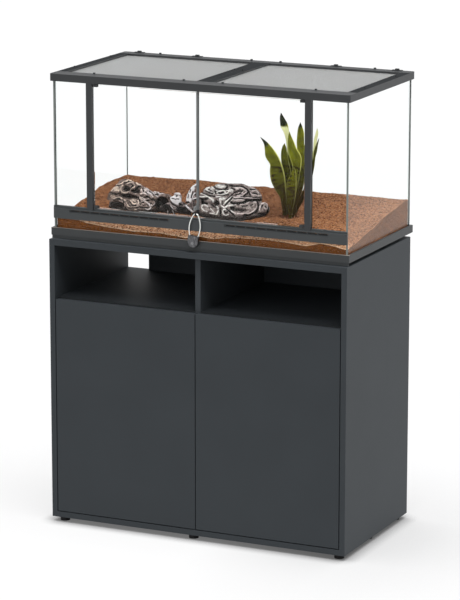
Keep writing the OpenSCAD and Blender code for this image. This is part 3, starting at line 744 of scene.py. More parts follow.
@dataclass(frozen=True)
class LeafFinish:
    """Sword leaf: yellow margins and dark cross bands, on UV across (0 to 1) and along in metres."""

    name: str = "banded_leaf"
    green: Color = srgb(122, 126, 18)
    dark: Color = srgb(54, 54, 10)
    margin: Color = srgb(238, 238, 130)
    cream: Color = srgb(240, 242, 182)
    tip: Color = srgb(34, 40, 20)
    root: Color = srgb(50, 36, 12)
    band: Color = srgb(44, 34, 8)
    left_margin: float = 0.35

    def build(self) -> Material:
        """Builds the material."""
        shader = Shader(self.name)
        spread = shader.add("ShaderNodeUVMap", uv_map="UVMap").outputs[0]
        parts = shader.split(spread)
        across = shader.math("ABSOLUTE", shader.math("SUBTRACT", parts[0], 0.5))
        waver = shader.noise(28.0, 2.0)
        edge = shader.math("ADD", across, shader.times(shader.math("SUBTRACT", waver, 0.5), 0.10))
        rim = shader.band(edge, 0.40, 0.45)
        rim = shader.times(rim, shader.band(parts[0], 0.45, 0.55, self.left_margin, 1.0))
        bands = shader.noise(120.0, 3.0, 0.6, source=shader.stretched((0.008, 1.0, 1.0), spread))
        blotch = shader.noise(60.0, 3.0)
        low = shader.times(shader.attribute("low"), shader.band(bands, 0.54, 0.46))
        middle = shader.mix(shader.band(blotch, 0.36, 0.66, 0.0, 0.6), self.green, self.dark)
        middle = shader.mix(low, middle, self.band)
        # Painted light and shade: the light number makes each whole leaf darker or paler, its margins too.
        light = shader.attribute("light")
        middle = shader.mix(1.0, middle, shader.band(light, 0.0, 1.0, 0.30, 1.15), "MULTIPLY")
        tint = shader.mix(shader.times(rim, shader.band(light, 0.1, 0.5, 0.25, 0.85)), middle, self.margin)
        tint = shader.mix(shader.attribute("cream"), tint, self.cream)
        tint = shader.mix(shader.attribute("tip"), tint, self.tip)
        tint = shader.mix(shader.times(shader.attribute("root"), 0.85), tint, self.root)
        ribs = shader.noise(700.0, 2.0, source=shader.stretched((1.0, 0.02, 1.0), spread))
        normal = shader.bump(ribs, 0.0003, 0.4)
        shader.surface(tint, 0.5, Normal=normal, Specular_IOR_Level=0.1)
        return shader.material


class Finishes:
    """All the finishes of the cabinet, built once."""

    def __init__(self) -> None:
        """Builds every material."""
        self.board = BoardFinish().build()
        # The shelves carry painted shade, falling to 0.35 of their colour at the front edge.
        self.shelf = BoardFinish("shelf_board", front_share=0.35).build()
        self.frame = FrameFinish("frame_grey", (0.046, 0.0485, 0.051)).build()
        # The base frame's lip colour is a painted highlight along its front upper face.
        self.base_frame = PaintedFinish("base_frame_grey", (0.052, 0.056, 0.058),
                                        lip=(0.42, 0.36, 0.31)).build()
        self.rail = PaintedFinish("rail_grey", (0.0375, 0.0435, 0.0465), 0.35, 0.5).build()
        self.gauze = GauzeFinish().build()
        self.black = PaintedFinish("moulded_black", (0.013, 0.0135, 0.014), 0.5).build()
        self.strip = PaintedFinish("strip_grey", (0.25, 0.26, 0.26), 0.5, foot=(0.012, 0.012, 0.013)).build()
        self.foot = PaintedFinish("foot_black", (0.008, 0.008, 0.009), 0.6).build()
        self.rubber = PaintedFinish("pad_rubber", (0.006, 0.006, 0.007), 0.8, 0.2).build()
        self.white = PaintedFinish("moulded_white", (0.70, 0.70, 0.68), 0.5).build()
        self.glass = GlassFinish().build()
        self.ground_edge = PaintedFinish("ground_glass_edge", srgb(132, 140, 136), 0.35, 0.5).build()
        self.silicone = GlassFinish("clear_silicone", (0.93, 0.95, 0.945), refraction=1.05).build()
        self.steel = MetalFinish("hinge_steel", (0.56, 0.57, 0.58)).build()
        self.shackle = MetalFinish("shackle_wire", (0.86, 0.87, 0.84), 0.18).build()
        self.padlock = MetalFinish("padlock_steel", (0.21, 0.21, 0.22), 0.3, (1.0, 1.0, 0.06), 700.0,
                                   0.85).build()
        self.plug = MetalFinish("plug_steel", (0.30, 0.30, 0.31), 0.4).build()
        # The keyway's black is painted shade, standing for the slot's depth.
        self.keyway = PaintedFinish("keyway_painted_shade", (0.01, 0.01, 0.01), 0.5).build()
        self.wire = MetalFinish("mesh_wire", (0.63, 0.64, 0.64), 0.45).build()
        self.sand = SandFinish("coco_sand").build()
        self.crumbs = GrainFinish().build()
        self.bark = CarvedFinish("bark_brown_grey", srgb(188, 168, 160), srgb(92, 74, 66), srgb(252, 230, 212),
                                 srgb(240, 232, 234)).build()
        self.stone = CarvedFinish("stone_silver", srgb(184, 172, 166), srgb(104, 90, 88), srgb(252, 250, 246),
                                  srgb(232, 218, 216)).build()
        self.wood = CarvedFinish("driftwood_grey", srgb(196, 180, 178), srgb(70, 54, 50), srgb(254, 234, 226),
                                 srgb(250, 246, 248)).build()
        self.leaf = LeafFinish().build()


# ---- Pieces ----


def face_outward(mesh: Mesh, merge: float = 0.0) -> None:
    """Turns a mesh's faces outward, after points closer than the merge distance are joined.

    Args:
        mesh: The mesh.
        merge: The distance in metres, or 0 to join none.
    """
    work = bmesh.new()
    work.from_mesh(mesh)
    if merge:
        bmesh.ops.remove_doubles(work, verts=work.verts, dist=merge)
    bmesh.ops.recalc_face_normals(work, faces=work.faces)
    work.to_mesh(mesh)
    work.free()


def modified_mesh(base: bpy.types.Object, name: str) -> Mesh:
    """Keeps an object's mesh as its modifiers leave it, and removes the object."""
    graph = bpy.context.evaluated_depsgraph_get()
    mesh = bpy.data.meshes.new_from_object(base.evaluated_get(graph))
    mesh.name = name
    bpy.data.objects.remove(base)
    return mesh


def plain_mesh(name: str, points: np.ndarray, faces: Iterable[Sequence[int]]) -> Mesh:
    """Makes a mesh with outward faces.

    Args:
        name: The mesh's name.
        points: One row of three coordinates per corner, in metres.
        faces: Corner numbers of each face.

    Returns:
        The mesh.
    """
    mesh = bpy.data.meshes.new(name)
    mesh.from_pydata([tuple(p) for p in points], [], [tuple(f) for f in faces])
    mesh.update()
    face_outward(mesh, 1e-6)
    return mesh


def point_number(mesh: Mesh, name: str, values: np.ndarray) -> None:
    """Stores one number on each of a mesh's points."""
    layer = mesh.attributes.new(name, "FLOAT", "POINT")
    layer.data.foreach_set("value", np.asarray(values, np.float32))


def mesh_points(mesh: Mesh) -> np.ndarray:
    """A mesh's points, one row each."""
    flat = np.zeros(len(mesh.vertices) * 3)
    mesh.vertices.foreach_get("co", flat)
    return flat.reshape(-1, 3)


def mesh_normals(mesh: Mesh) -> np.ndarray:
    """The normals at a mesh's points, one row each."""
    flat = np.zeros(len(mesh.vertices) * 3)
    mesh.vertex_normals.foreach_get("vector", flat)
    return flat.reshape(-1, 3)


def move_points(mesh: Mesh, points: np.ndarray) -> None:
    """Puts a mesh's points elsewhere."""
    mesh.vertices.foreach_set("co", np.asarray(points, np.float32).reshape(-1))
    mesh.update()


def shade_smooth(mesh: Mesh) -> None:
    """Lets a mesh's faces shade as one curved surface."""
    mesh.polygons.foreach_set("use_smooth", np.ones(len(mesh.polygons), bool))
    mesh.update()


def put_piece(name: str, mesh: Mesh, body: str, material: Material,
              stands_for: Sequence[str] = ()) -> bpy.types.Object:
    """Adds a finished piece to the scene.

    Args:
        name: The piece's name.
        mesh: Its mesh, already in place.
        body: The body that it moves with.
        material: Its finish.
        stands_for: Nodes that it replaces.

    Returns:
        The piece.
    """
    piece = bpy.data.objects.new(name, mesh)
    bpy.context.scene.collection.objects.link(piece)
    mesh.materials.clear()
    mesh.materials.append(material)
    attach(piece, body)
    if stands_for:
        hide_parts(*stands_for)
    log.info("piece %s: %d faces on %s", name, len(mesh.polygons), body)
    return piece


def dress(material: Material, *nodes: str) -> None:
    """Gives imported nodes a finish.

    Args:
        material: The finish.
        *nodes: The nodes' names.
    """
    for node in nodes:
        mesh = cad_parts[node].data
        mesh.materials.clear()
        mesh.materials.append(material)
        log.info("node %s: %s", node, material.name)


class NodeTree:
    """A Geometry Nodes tree under construction, with named inputs."""

    def __init__(self, name: str, inputs: dict[str, str]) -> None:
        """Starts the tree.

        Args:
            name: The tree's name.
            inputs: Socket type of each named input.
        """
        self.tree = bpy.data.node_groups.new(name, "GeometryNodeTree")
        self.tree.interface.new_socket("Geometry", in_out="INPUT", socket_type="NodeSocketGeometry")
        self.tree.interface.new_socket("Geometry", in_out="OUTPUT", socket_type="NodeSocketGeometry")
        self.identifiers = {}
        for key, kind in inputs.items():
            socket = self.tree.interface.new_socket(key, in_out="INPUT", socket_type=kind)
            self.identifiers[key] = socket.identifier
        self.entry = self.tree.nodes.new("NodeGroupInput")
        self.exit = self.tree.nodes.new("NodeGroupOutput")

    def input(self, name: str) -> Socket:
        """The socket of a named input."""
        return self.entry.outputs[name]

    def add(self, kind: str, links: dict[object, object] | None = None, **settings: object) -> Node:
        """Adds a node and feeds its sockets.

        Args:
            kind: The node's type.
            links: Value or output for each input, by name or number.
            **settings: Attributes of the node.

        Returns:
            The node.
        """
        node = self.tree.nodes.new(kind)
        for key, value in settings.items():
            setattr(node, key, value)
        for key, value in (links or {}).items():
            if isinstance(value, Socket):
                self.tree.links.new(value, node.inputs[key])
            else:
                node.inputs[key].default_value = value
        return node

    def math(self, operation: str, first: object, second: object) -> Socket:
        """One arithmetic step."""
        return self.add("ShaderNodeMath", {0: first, 1: second}, operation=operation).outputs[0]

    def vector(self, x: object = 0.0, y: object = 0.0, z: object = 0.0) -> Socket:
        """A vector from three numbers."""
        return self.add("ShaderNodeCombineXYZ", {0: x, 1: y, 2: z}).outputs[0]

    def finish(self, shape: Socket, material: Material) -> None:
        """Ends the tree: makes instances real and sets the material."""
        real = self.add("GeometryNodeRealizeInstances", {0: shape})
        painted = self.add("GeometryNodeSetMaterial", {"Geometry": real.outputs[0], "Material": material})
        self.tree.links.new(painted.outputs[0], self.exit.inputs[0])

    def grow(self, name: str, values: dict[str, object],
             ground: Mesh | None = None) -> Mesh:
        """Runs the tree and keeps the result as a plain mesh.

        Args:
            name: The mesh's name.
            values: Value of each named input.
            ground: The mesh that goes in, or an empty one.

        Returns:
            The mesh.
        """
        base = bpy.data.objects.new(name + "_base", ground or bpy.data.meshes.new(name + "_base"))
        bpy.context.scene.collection.objects.link(base)
        modifier = base.modifiers.new("grow", "NODES")
        modifier.node_group = self.tree
        for key, value in values.items():
            modifier[self.identifiers[key]] = value
        return modified_mesh(base, name)


# ---- Sub-assemblies ----


@dataclass
class Cabinet:
    """The base cabinet: boards, doors, hinges, latches, feet and the pads under the tank."""

    outside: tuple[str, ...] = (
        "cabinet_base_board", "cabinet_side_left", "cabinet_side_right", "cabinet_top_board",
        "cabinet_centre_partition", "cabinet_door_left", "cabinet_door_right",
    )
    inside: tuple[str, ...] = ("rear_panels_upper", "rear_panels_lower")
    shelves: tuple[str, ...] = ("cabinet_shelf_left", "cabinet_shelf_right")
    fittings: tuple[str, ...] = ("hinge_brackets", "hinge_pins", "hinge_screws")

    def build(self, finishes: Finishes) -> None:
        """Dresses the cabinet's nodes.

        Args:
            finishes: The finishes.
        """
        dress(finishes.board, *self.outside, *self.inside)
        dress(finishes.shelf, *self.shelves)
        dress(finishes.steel, *self.fittings)
        dress(finishes.black, "push_latch_housings")
        dress(finishes.white, "push_latch_plunger_left", "push_latch_plunger_right")
        dress(finishes.foot, "cabinet_feet")
        dress(finishes.rubber, "support_pads")


@dataclass
class Frames:
    """The tank's base frame, top frame, ventilation rail with gauze in its slots, posts, clamps and slides."""

    first_slot: float = 98 * MM
    slot_length: float = 30 * MM
    slot_pitch: float = 34 * MM
    slot_count: int = 10
    slot_heights: tuple[float, float] = (1007.5 * MM, 1012.5 * MM)
    gauze_place: float = -240.0 * MM
    gauze_thickness: float = 0.3 * MM
    gauze_gap: float = 0.1 * MM

    def build(self, finishes: Finishes) -> None:
        """Dresses the frames' nodes.

        Args:
            finishes: The finishes.
        """
        sides = [side.word for side in Side]
        dress(finishes.base_frame, "base_rail_front", "base_rail_rear", *(f"base_rail_{s}" for s in sides))
        dress(finishes.frame, "top_rail_front", "top_rail_rear", "top_crossbar")
        for paired in ("top_rail", "mesh_rim", "door_post", "door_clamps"):
            dress(finishes.frame, *(f"{paired}_{s}" for s in sides))
        dress(finishes.rail, "vent_rail", "vent_rail_caps")
        dress(finishes.strip, *(f"edge_strip_{s}" for s in sides))
        dress(finishes.frame, *(f"cable_slide_{n}" for n in range(1, 5)))
        low, high = self.slot_heights
        half = self.slot_length / 2 - self.gauze_gap
        plates = []
        for n in range(self.slot_count):
            for side in Side:
                middle = side.value * (self.first_slot + self.slot_length / 2 + n * self.slot_pitch)
                plates.append(((middle - half, self.gauze_place, low + self.gauze_gap),
                               (middle + half, self.gauze_place + self.gauze_thickness, high - self.gauze_gap)))
        put_piece("slot_gauze", Glazing.boxes("slot_gauze", plates), HOUSING, finishes.gauze)


@dataclass
class Glazing:
    """The panes, the side panes' ground edges and the silicone beads in the tank's corners."""

    edge_thickness: float = 0.15 * MM
    edge_stand_off: float = 0.05 * MM
    end_gap: float = 0.2 * MM
    bead: float = 4.0 * MM
    bead_gap: float = 0.05 * MM
    bead_steps: int = 5
    panes: tuple[str, ...] = (
        "floor_glass", "glass_rear", "glass_left", "glass_right", "glass_front_lower", "glass_front_left",
        "glass_front_right", "glass_door_left", "glass_door_right",
    )

    def build(self, finishes: Finishes) -> None:
        """Dresses the panes and adds the edges and beads.

        Args:
            finishes: The finishes.
        """
        dress(finishes.glass, *self.panes)
        low_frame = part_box("base_rail_front")[1].z
        rail_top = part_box("vent_rail")[1].z
        rail_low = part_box("vent_rail")[0].z
        under_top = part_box("top_rail_front")[0].z
        floor_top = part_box("floor_glass")[1].z
        for side in Side:
            low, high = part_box(f"glass_{side.word}")
            spans = [(low_frame, rail_low), (rail_top, under_top)]
            front = low.y - self.edge_stand_off
            rear = high.y + self.edge_stand_off
            blocks = [((low.x, front - self.edge_thickness, z0 + self.end_gap),
                       (high.x, front, z1 - self.end_gap)) for z0, z1 in spans]
            blocks.append(((low.x, rear, low_frame + self.end_gap),
                           (high.x, rear + self.edge_thickness, under_top - self.end_gap)))
            name = f"ground_edge_{side.word}"
            put_piece(name, self.boxes(name, blocks), HOUSING, finishes.ground_edge)
        mesh = self.beads(floor_top, under_top)
        put_piece("silicone_beads", mesh, HOUSING, finishes.silicone)

    @staticmethod
    def boxes(name: str, blocks: Sequence[tuple[Point, Point]]) -> Mesh:
        """Makes a mesh of thin upright plates.

        Args:
            name: The mesh's name.
            blocks: Lowest and highest corner of each plate.

        Returns:
            The mesh.
        """
        points: list[Point] = []
        faces: list[tuple[int, ...]] = []
        for low, high in blocks:
            start = len(points)
            points += [(x, y, z) for z, y, x in itertools.product(*reversed(list(zip(low, high))))]
            for face in ((0, 2, 3, 1), (4, 5, 7, 6), (0, 1, 5, 4), (2, 6, 7, 3), (0, 4, 6, 2), (1, 3, 7, 5)):
                faces.append(tuple(start + n for n in face))
        return plain_mesh(name, np.array(points), faces)

    def beads(self, low: float, high: float) -> Mesh:
        """Makes the hollow-faced beads in the four corners.

        Args:
            low: Height of their lower ends.
            high: Height of their upper ends.

        Returns:
            The mesh.
        """
        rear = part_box("glass_rear")[0].y
        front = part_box("glass_front_left")[1].y
        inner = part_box("glass_right")[0].x
        points: list[Point] = []
        faces: list[tuple[int, ...]] = []
        for sx, (y, sy) in itertools.product((-1, 1), ((front, 1), (rear, -1))):
            corner = Vector((sx * (inner - self.bead_gap), y + sy * self.bead_gap))
            outline = [corner]
            for step in range(self.bead_steps + 1):
                turn = math.pi / 2 * step / self.bead_steps
                outline.append(Vector((corner.x - sx * self.bead * (1 - math.sin(turn)),
                                       corner.y + sy * self.bead * (1 - math.cos(turn)))))
            start = len(points)
            count = len(outline)
            for z in (low, high - self.end_gap):
                points += [(p.x, p.y, z) for p in outline]
            faces.append(tuple(range(start, start + count)))
            faces.append(tuple(range(start + count, start + 2 * count)))
            for n in range(count):
                after = (n + 1) % count
                faces.append((start + n, start + after, start + count + after, start + count + n))
        return plain_mesh("silicone_beads", np.array(points), faces)


@dataclass
class WireMesh:
    """The woven wire of the two lift-out covers, as two layers of straight wires."""

    pitch: float = 2.2 * MM
    wire: float = 0.45 * MM
    hold: float = 2.5 * MM
    corners: int = 4

    def tree(self, material: Material) -> NodeTree:
        """Builds the tree that lays the wires.

        Args:
            material: The wires' finish.

        Returns:
            The tree.
        """
        number = "NodeSocketFloat"
        tree = NodeTree("wire_mesh", {"Width": number, "Depth": number, "Pitch": number, "Wire radius": number,
                                      "Low corner": "NodeSocketVector"})
        width, depth = tree.input("Width"), tree.input("Depth")
        pitch, radius = tree.input("Pitch"), tree.input("Wire radius")
        ring = tree.add("GeometryNodeCurvePrimitiveCircle", {"Resolution": self.corners, "Radius": radius})
        layers = []
        for along, across, end, step, rise in (
            (width, depth, tree.vector(width), tree.vector(0.0, pitch), -1.0),
            (depth, width, tree.vector(0.0, depth), tree.vector(pitch), 1.0),
        ):
            line = tree.add("GeometryNodeCurvePrimitiveLine", {"Start": (0, 0, 0), "End": end})
            rod = tree.add("GeometryNodeCurveToMesh", {
                "Curve": line.outputs[0], "Profile Curve": ring.outputs[0], "Fill Caps": True})
            count = tree.math("FLOOR", tree.math("DIVIDE", across, pitch), 0.0)
            lift = tree.math("MULTIPLY", radius, rise * 0.9)
            start = tree.add("ShaderNodeVectorMath", {
                0: tree.input("Low corner"), 1: tree.vector(0.0, 0.0, lift)}, operation="ADD")
            row = tree.add("GeometryNodeMeshLine", {"Count": count, "Start Location": start.outputs[0],
                                                    "Offset": step}, mode="OFFSET")
            layers.append(tree.add("GeometryNodeInstanceOnPoints", {"Points": row.outputs[0],
                                                                    "Instance": rod.outputs[0]}))
        both = tree.add("GeometryNodeJoinGeometry")
        for layer in layers:
            tree.tree.links.new(layer.outputs[0], both.inputs[0])
        tree.finish(both.outputs[0], material)
        return tree

    def build(self, finishes: Finishes) -> None:
        """Lays both covers' wires in place of their nodes.

        Args:
            finishes: The finishes.
        """
        tree = self.tree(finishes.wire)
        for side in Side:
            node = f"mesh_net_{side.word}"
            low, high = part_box(node)
            inset = 0.5 * MM
            values = {
                "Width": high.x - low.x - 2 * inset, "Depth": high.y - low.y - 2 * inset, "Pitch": self.pitch,
                "Wire radius": self.wire / 2,
                "Low corner": (low.x + inset, low.y + inset, (low.z + high.z) / 2),
            }
            mesh = tree.grow(f"wire_mesh_{side.word}", values)
            put_piece(f"wire_mesh_{side.word}", mesh, f"mesh_cover_{side.word}_body",
                      finishes.wire, [node])


@dataclass
class Padlock:
    """The padlock's shackle and case, with a plug and its keyway in the case's recess."""

    recess_place: tuple[float, float] = (-8.4 * MM, 948.1 * MM)
    lean: float = 6.5
    plug_radius: float = 4.3 * MM
    plug_inset: float = 0.35 * MM
    keyway: tuple[float, float] = (0.7 * MM, 5.0 * MM)
    steps: int = 24

    def build(self, finishes: Finishes) -> None:
        """Dresses the padlock and adds the plug.

        Args:
            finishes: The finishes.
        """
        dress(finishes.shackle, "padlock_shackle")
        dress(finishes.padlock, "padlock_case")
        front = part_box("padlock_case")[0].y + self.plug_inset
        centre = Vector((self.recess_place[0], front, self.recess_place[1]))
        put_piece("padlock_plug", self.plug(centre), "padlock_case_body", finishes.plug)
        # The keyway is a thin black plate on the plug: painted shade where the slot would be dark.
        x, z = self.keyway
        slot = Glazing.boxes("padlock_keyway", [((-x, -0.12 * MM, -z / 2), (x, 0.1 * MM, z / 2))])
        slot.transform(Matrix.Translation(centre) @ Matrix.Rotation(math.radians(self.lean), 4, "Y"))
        put_piece("padlock_keyway", slot, "padlock_case_body", finishes.keyway)

    def plug(self, centre: Vector) -> Mesh:
        """Makes the plug: a disc with a bevelled rim.

        Args:
            centre: Middle of its front face.

        Returns:
            The mesh.
        """
        depth = 0.6 * MM
        rings = [(self.plug_radius - 0.3 * MM, 0.0), (self.plug_radius, 0.25 * MM), (self.plug_radius, depth)]
        points: list[Point] = []
        for radius, y in rings:
            for n in range(self.steps):
                turn = 2 * math.pi * n / self.steps
                points.append((centre.x + radius * math.cos(turn), centre.y + y,
                               centre.z + radius * math.sin(turn)))
        faces: list[tuple[int, ...]] = [tuple(range(self.steps)), tuple(range(2 * self.steps, 3 * self.steps))]
        for ring in range(2):
            for n in range(self.steps):
                after = (n + 1) % self.steps
                a, b = ring * self.steps, (ring + 1) * self.steps
                faces.append((a + n, a + after, b + after, b + n))
        return plain_mesh("padlock_plug", np.array(points), faces)


@dataclass
class SandBed:
    """The sloping sand: a height for every place, a closed bed, and loose crumbs on top."""

    cell: float = 3.2 * MM
    front_edge_mm: tuple[tuple[float, float], ...] = (
        (-490, 986), (-430, 984), (-390, 974), (-310, 965), (-220, 961), (-130, 963), (-45, 956), (5, 965),
        (45, 961), (90, 969), (150, 972), (240, 974), (300, 970), (360, 966), (405, 978), (450, 977),
        (490, 973),
    )
    depth_shares: tuple[float, ...] = (0.0, 0.22, 0.6, 1.0)
    rise_shares: tuple[float, ...] = (0.0, 0.31, 0.66, 1.0)
    front_height_mm: float = 976.0
    edge_reach_mm: float = 38.0
    left_hump_mm: float = 15.0
    right_dip_mm: float = 14.0
    rear_swell_mm: float = 6.0
    rear_swell_x_mm: float = -270.0
    front_pale_reach_mm: float = 55.0
    root_mm: tuple[float, float, float] = (204.0, -6.0, 42.0)
    crumbs_per_square: float = 12500.0
    crumb_radius: float = 1.7 * MM
    seed: int = 11
    low: Vector = field(default_factory=lambda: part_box("sand_bed")[0])
    high: Vector = field(default_factory=lambda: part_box("sand_bed")[1])

    def height(self, x: np.ndarray, y: np.ndarray) -> np.ndarray:
        """Height of the sand's surface.

        Args:
            x: Places across, in metres.
            y: Places from front to rear, in metres.

        Returns:
            The heights, in metres.
        """
        depth = (y - self.low.y) / (self.high.y - self.low.y)
        front = self.front_height_mm * MM
        base = front + (self.high.z - front) * np.interp(depth, self.depth_shares, self.rise_shares)
        edge = np.interp(x / MM, *zip(*self.front_edge_mm)) * MM
        near = np.exp(-(((y - self.low.y) / (self.edge_reach_mm * MM)) ** 1.3))
        left = smooth_step(-x, 0.33, 0.49) * bell(depth - 0.62, 0.28) * self.left_hump_mm
        right = smooth_step(x, 0.40, 0.49) * bell(depth - 0.22, 0.25) * self.right_dip_mm
        swell = bell(x - self.rear_swell_x_mm * MM, 0.10) * smooth_step(depth, 0.6, 1.0) * self.rear_swell_mm
        places = np.stack([x, y, np.zeros_like(x)], axis=1)
        waves = 3.2 * smooth_noise(places, 0.075, self.seed) + 1.7 * smooth_noise(places, 0.028, self.seed + 1)
        lumps = 1.3 * rough_noise(places, 0.011, self.seed + 2, 3, 0.6)
        calm = 0.35 + 0.65 * smooth_step(y, self.low.y, self.low.y + 0.05)
        return base + (edge - front) * near + (left - right + swell + (waves + lumps) * calm) * MM

    def bed(self) -> Mesh:
        """Makes the closed bed, with its points' numbers for the finish.

        Returns:
            The mesh.
        """
        across = round((self.high.x - self.low.x) / self.cell)
        along = round((self.high.y - self.low.y) / self.cell)
        xs = np.linspace(self.low.x, self.high.x, across + 1)
        ys = np.linspace(self.low.y, self.high.y, along + 1)
        grid_x, grid_y = np.meshgrid(xs, ys)
        x, y = grid_x.ravel(), grid_y.ravel()
        top = np.stack([x, y, self.height(x, y)], axis=1)
        row = across + 1
        faces = [(j * row + i, j * row + i + 1, (j + 1) * row + i + 1, (j + 1) * row + i)
                 for j in range(along) for i in range(across)]
        border = (list(range(across)) + [j * row + across for j in range(along)]
                  + [along * row + i for i in range(across, 0, -1)] + [j * row for j in range(along, 0, -1)])
        start = len(top)
        count = len(border)
        foot = top[border]
        foot[:, 2] = self.low.z
        level = len(faces)
        for n in range(count):
            after = (n + 1) % count
            faces.append((border[after], border[n], start + n, start + after))
        faces.append(tuple(start + n for n in range(count)))
        mesh = bpy.data.meshes.new("sand")
        mesh.from_pydata([tuple(p) for p in np.concatenate([top, foot])], [], faces)
        mesh.update()
        face_outward(mesh)
        pressed = np.arange(len(faces)) >= level
        middle = np.zeros(len(faces) * 3)
        mesh.polygons.foreach_get("center", middle)
        beside = pressed & (np.abs(middle[::3]) > self.high.x - 0.1 * MM)
        mesh.polygons.foreach_set("use_smooth", ~pressed)
        # The faces pressed against the panes are marked for the finish's painted shade.
        for key, values in (("damp", pressed), ("side", beside)):
            layer = mesh.attributes.new(key, "FLOAT", "FACE")
            layer.data.foreach_set("value", values.astype(np.float32))
        front = np.concatenate([y, np.full(count, self.high.y)]) - self.low.y
        across_x = np.concatenate([x, np.zeros(count)])
        root = np.hypot(across_x - self.root_mm[0] * MM, front + self.low.y - self.root_mm[1] * MM)
        point_number(mesh, "root", smooth_step(-root, -self.root_mm[2] * MM, -0.6 * self.root_mm[2] * MM))
        point_number(mesh, "front_pale", np.maximum(np.exp(-((front / (self.front_pale_reach_mm * MM)) ** 2)),
                                              0.12 * smooth_step(across_x, 0.34, 0.47)))
        return mesh

    def crumb_tree(self, material: Material) -> NodeTree:
        """Builds the tree that strews the crumbs.

        Args:
            material: The crumbs' finish.

        Returns:
            The tree.
        """
        number = "NodeSocketFloat"
        tree = NodeTree("sand_crumbs", {"Density": number, "Crumb radius": number, "Seed": "NodeSocketInt"})
        up = tree.add("ShaderNodeSeparateXYZ", {0: tree.add("GeometryNodeInputNormal").outputs[0]})
        upright = tree.add("FunctionNodeCompare", {0: up.outputs[2], 1: 0.5}, data_type="FLOAT",
                           operation="GREATER_THAN")
        spread = tree.add("GeometryNodeDistributePointsOnFaces", {
            "Mesh": tree.input("Geometry"), "Selection": upright.outputs[0], "Density": tree.input("Density"),
            "Seed": tree.input("Seed")})
        ball = tree.add("GeometryNodeMeshIcoSphere", {"Radius": tree.input("Crumb radius"), "Subdivisions": 1})
        size = tree.add("FunctionNodeRandomValue", {2: 0.35, 3: 1.5, "Seed": self.seed}, data_type="FLOAT")
        turn = tree.add("FunctionNodeRandomValue", {0: (0, 0, 0), 1: (6.28, 6.28, 6.28), "Seed": self.seed + 1},
                        data_type="FLOAT_VECTOR")
        strewn = tree.add("GeometryNodeInstanceOnPoints", {
            "Points": spread.outputs["Points"], "Instance": ball.outputs["Mesh"], "Scale": size.outputs[1]})
        turned = tree.add("GeometryNodeRotateInstances", {
            "Instances": strewn.outputs[0], "Rotation": turn.outputs[0]})
        tone = tree.add("FunctionNodeRandomValue", {2: 0.0, 3: 1.0, "Seed": self.seed + 2}, data_type="FLOAT")
        toned = tree.add("GeometryNodeStoreNamedAttribute", {
            "Geometry": turned.outputs[0], "Name": "tone", "Value": tone.outputs[1]}, data_type="FLOAT",
            domain="INSTANCE")
        tree.finish(toned.outputs[0], material)
        return tree

    def build(self, finishes: Finishes) -> None:
        """Adds the bed and the crumbs in place of the plain node.

        Args:
            finishes: The finishes.
        """
        bed = self.bed()
        values = {"Density": self.crumbs_per_square, "Crumb radius": self.crumb_radius, "Seed": self.seed}
        crumbs = self.crumb_tree(finishes.crumbs).grow("sand_crumbs", values, bed.copy())
        inside = mesh_points(crumbs)
        inside[:, 0] = np.clip(inside[:, 0], self.low.x, self.high.x)
        inside[:, 1] = np.clip(inside[:, 1], self.low.y, self.high.y)
        move_points(crumbs, inside)
        put_piece("sand", bed, HOUSING, finishes.sand, ["sand_bed"])
        put_piece("sand_crumbs", crumbs, HOUSING, finishes.crumbs)


Ball = tuple[float, float, float, float]


@dataclass
class Lump:
    """A carved lump: hulls through balls, made one even skin and then carved.

    Balls are given as x, y, height over the sand's datum and radius, in millimetres.
    """

    name: str
    node: str
    hulls: tuple[tuple[Ball, ...], ...]
    slot: Slot
    skin_mm: float = 2.0
    datum_mm: float = 1002.6
    sink_mm: float = 10.0
    swell_mm: float = 5.0
    swell_size_mm: float = 42.0
    seed: int = 3

    def skin(self) -> Mesh:
        """Makes one even skin over the hulls.

        Returns:
            The mesh, in metres.
        """
        work = bmesh.new()
        for balls in self.hulls:
            shell = bmesh.new()
            for x, y, z, radius in balls:
                place = Matrix.Translation(Vector((x, y, self.datum_mm + z)) * MM)
                bmesh.ops.create_icosphere(shell, subdivisions=3, radius=radius * MM, matrix=place)
            found = bmesh.ops.convex_hull(shell, input=shell.verts)
            spare = [v for v in found["geom_interior"] if isinstance(v, bmesh.types.BMVert)]
            bmesh.ops.delete(shell, geom=spare, context="VERTS")
            part = bpy.data.meshes.new(self.name + "_hull")
            shell.to_mesh(part)
            shell.free()
            work.from_mesh(part)
            bpy.data.meshes.remove(part)
        rough = bpy.data.meshes.new(self.name + "_rough")
        work.to_mesh(rough)
        work.free()
        base = bpy.data.objects.new(self.name + "_rough", rough)
        bpy.context.scene.collection.objects.link(base)
        remesh = base.modifiers.new("skin", "REMESH")
        remesh.mode = "VOXEL"
        remesh.voxel_size = self.skin_mm * MM
        return modified_mesh(base, self.name)

    def carve(self, mesh: Mesh,
              carving: Callable[[np.ndarray, np.ndarray], dict[str, np.ndarray]]) -> None:
        """Swells the skin unevenly and carves it.

        Args:
            mesh: The skin.
            carving: Gives depth in millimetres and the finish's numbers for points in millimetres.
        """
        points = mesh_points(mesh)
        normals = mesh_normals(mesh)
        swell = rough_noise(points / MM, self.swell_size_mm, self.seed, 2) * self.swell_mm
        points = points + normals * swell[:, None] * MM
        marks = carving(points / MM, normals)
        points = points + normals * (marks.pop("height") * MM)[:, None]
        move_points(mesh, points)
        for key, values in marks.items():
            point_number(mesh, key, np.clip(values, 0, 1))
        shade_smooth(mesh)

    def build(self, material: Material,
              carving: Callable[[np.ndarray, np.ndarray], dict[str, np.ndarray]]) -> None:
        """Adds the lump in place of its node.

        Args:
            material: Its finish.
            carving: Its carving.
        """
        mesh = self.skin()
        self.carve(mesh, carving)
        put_piece(self.name, mesh, HOUSING, material, [self.node])


Stroke = tuple[float, tuple[tuple[float, float], ...]]
Oval = tuple[float, float, float, float]


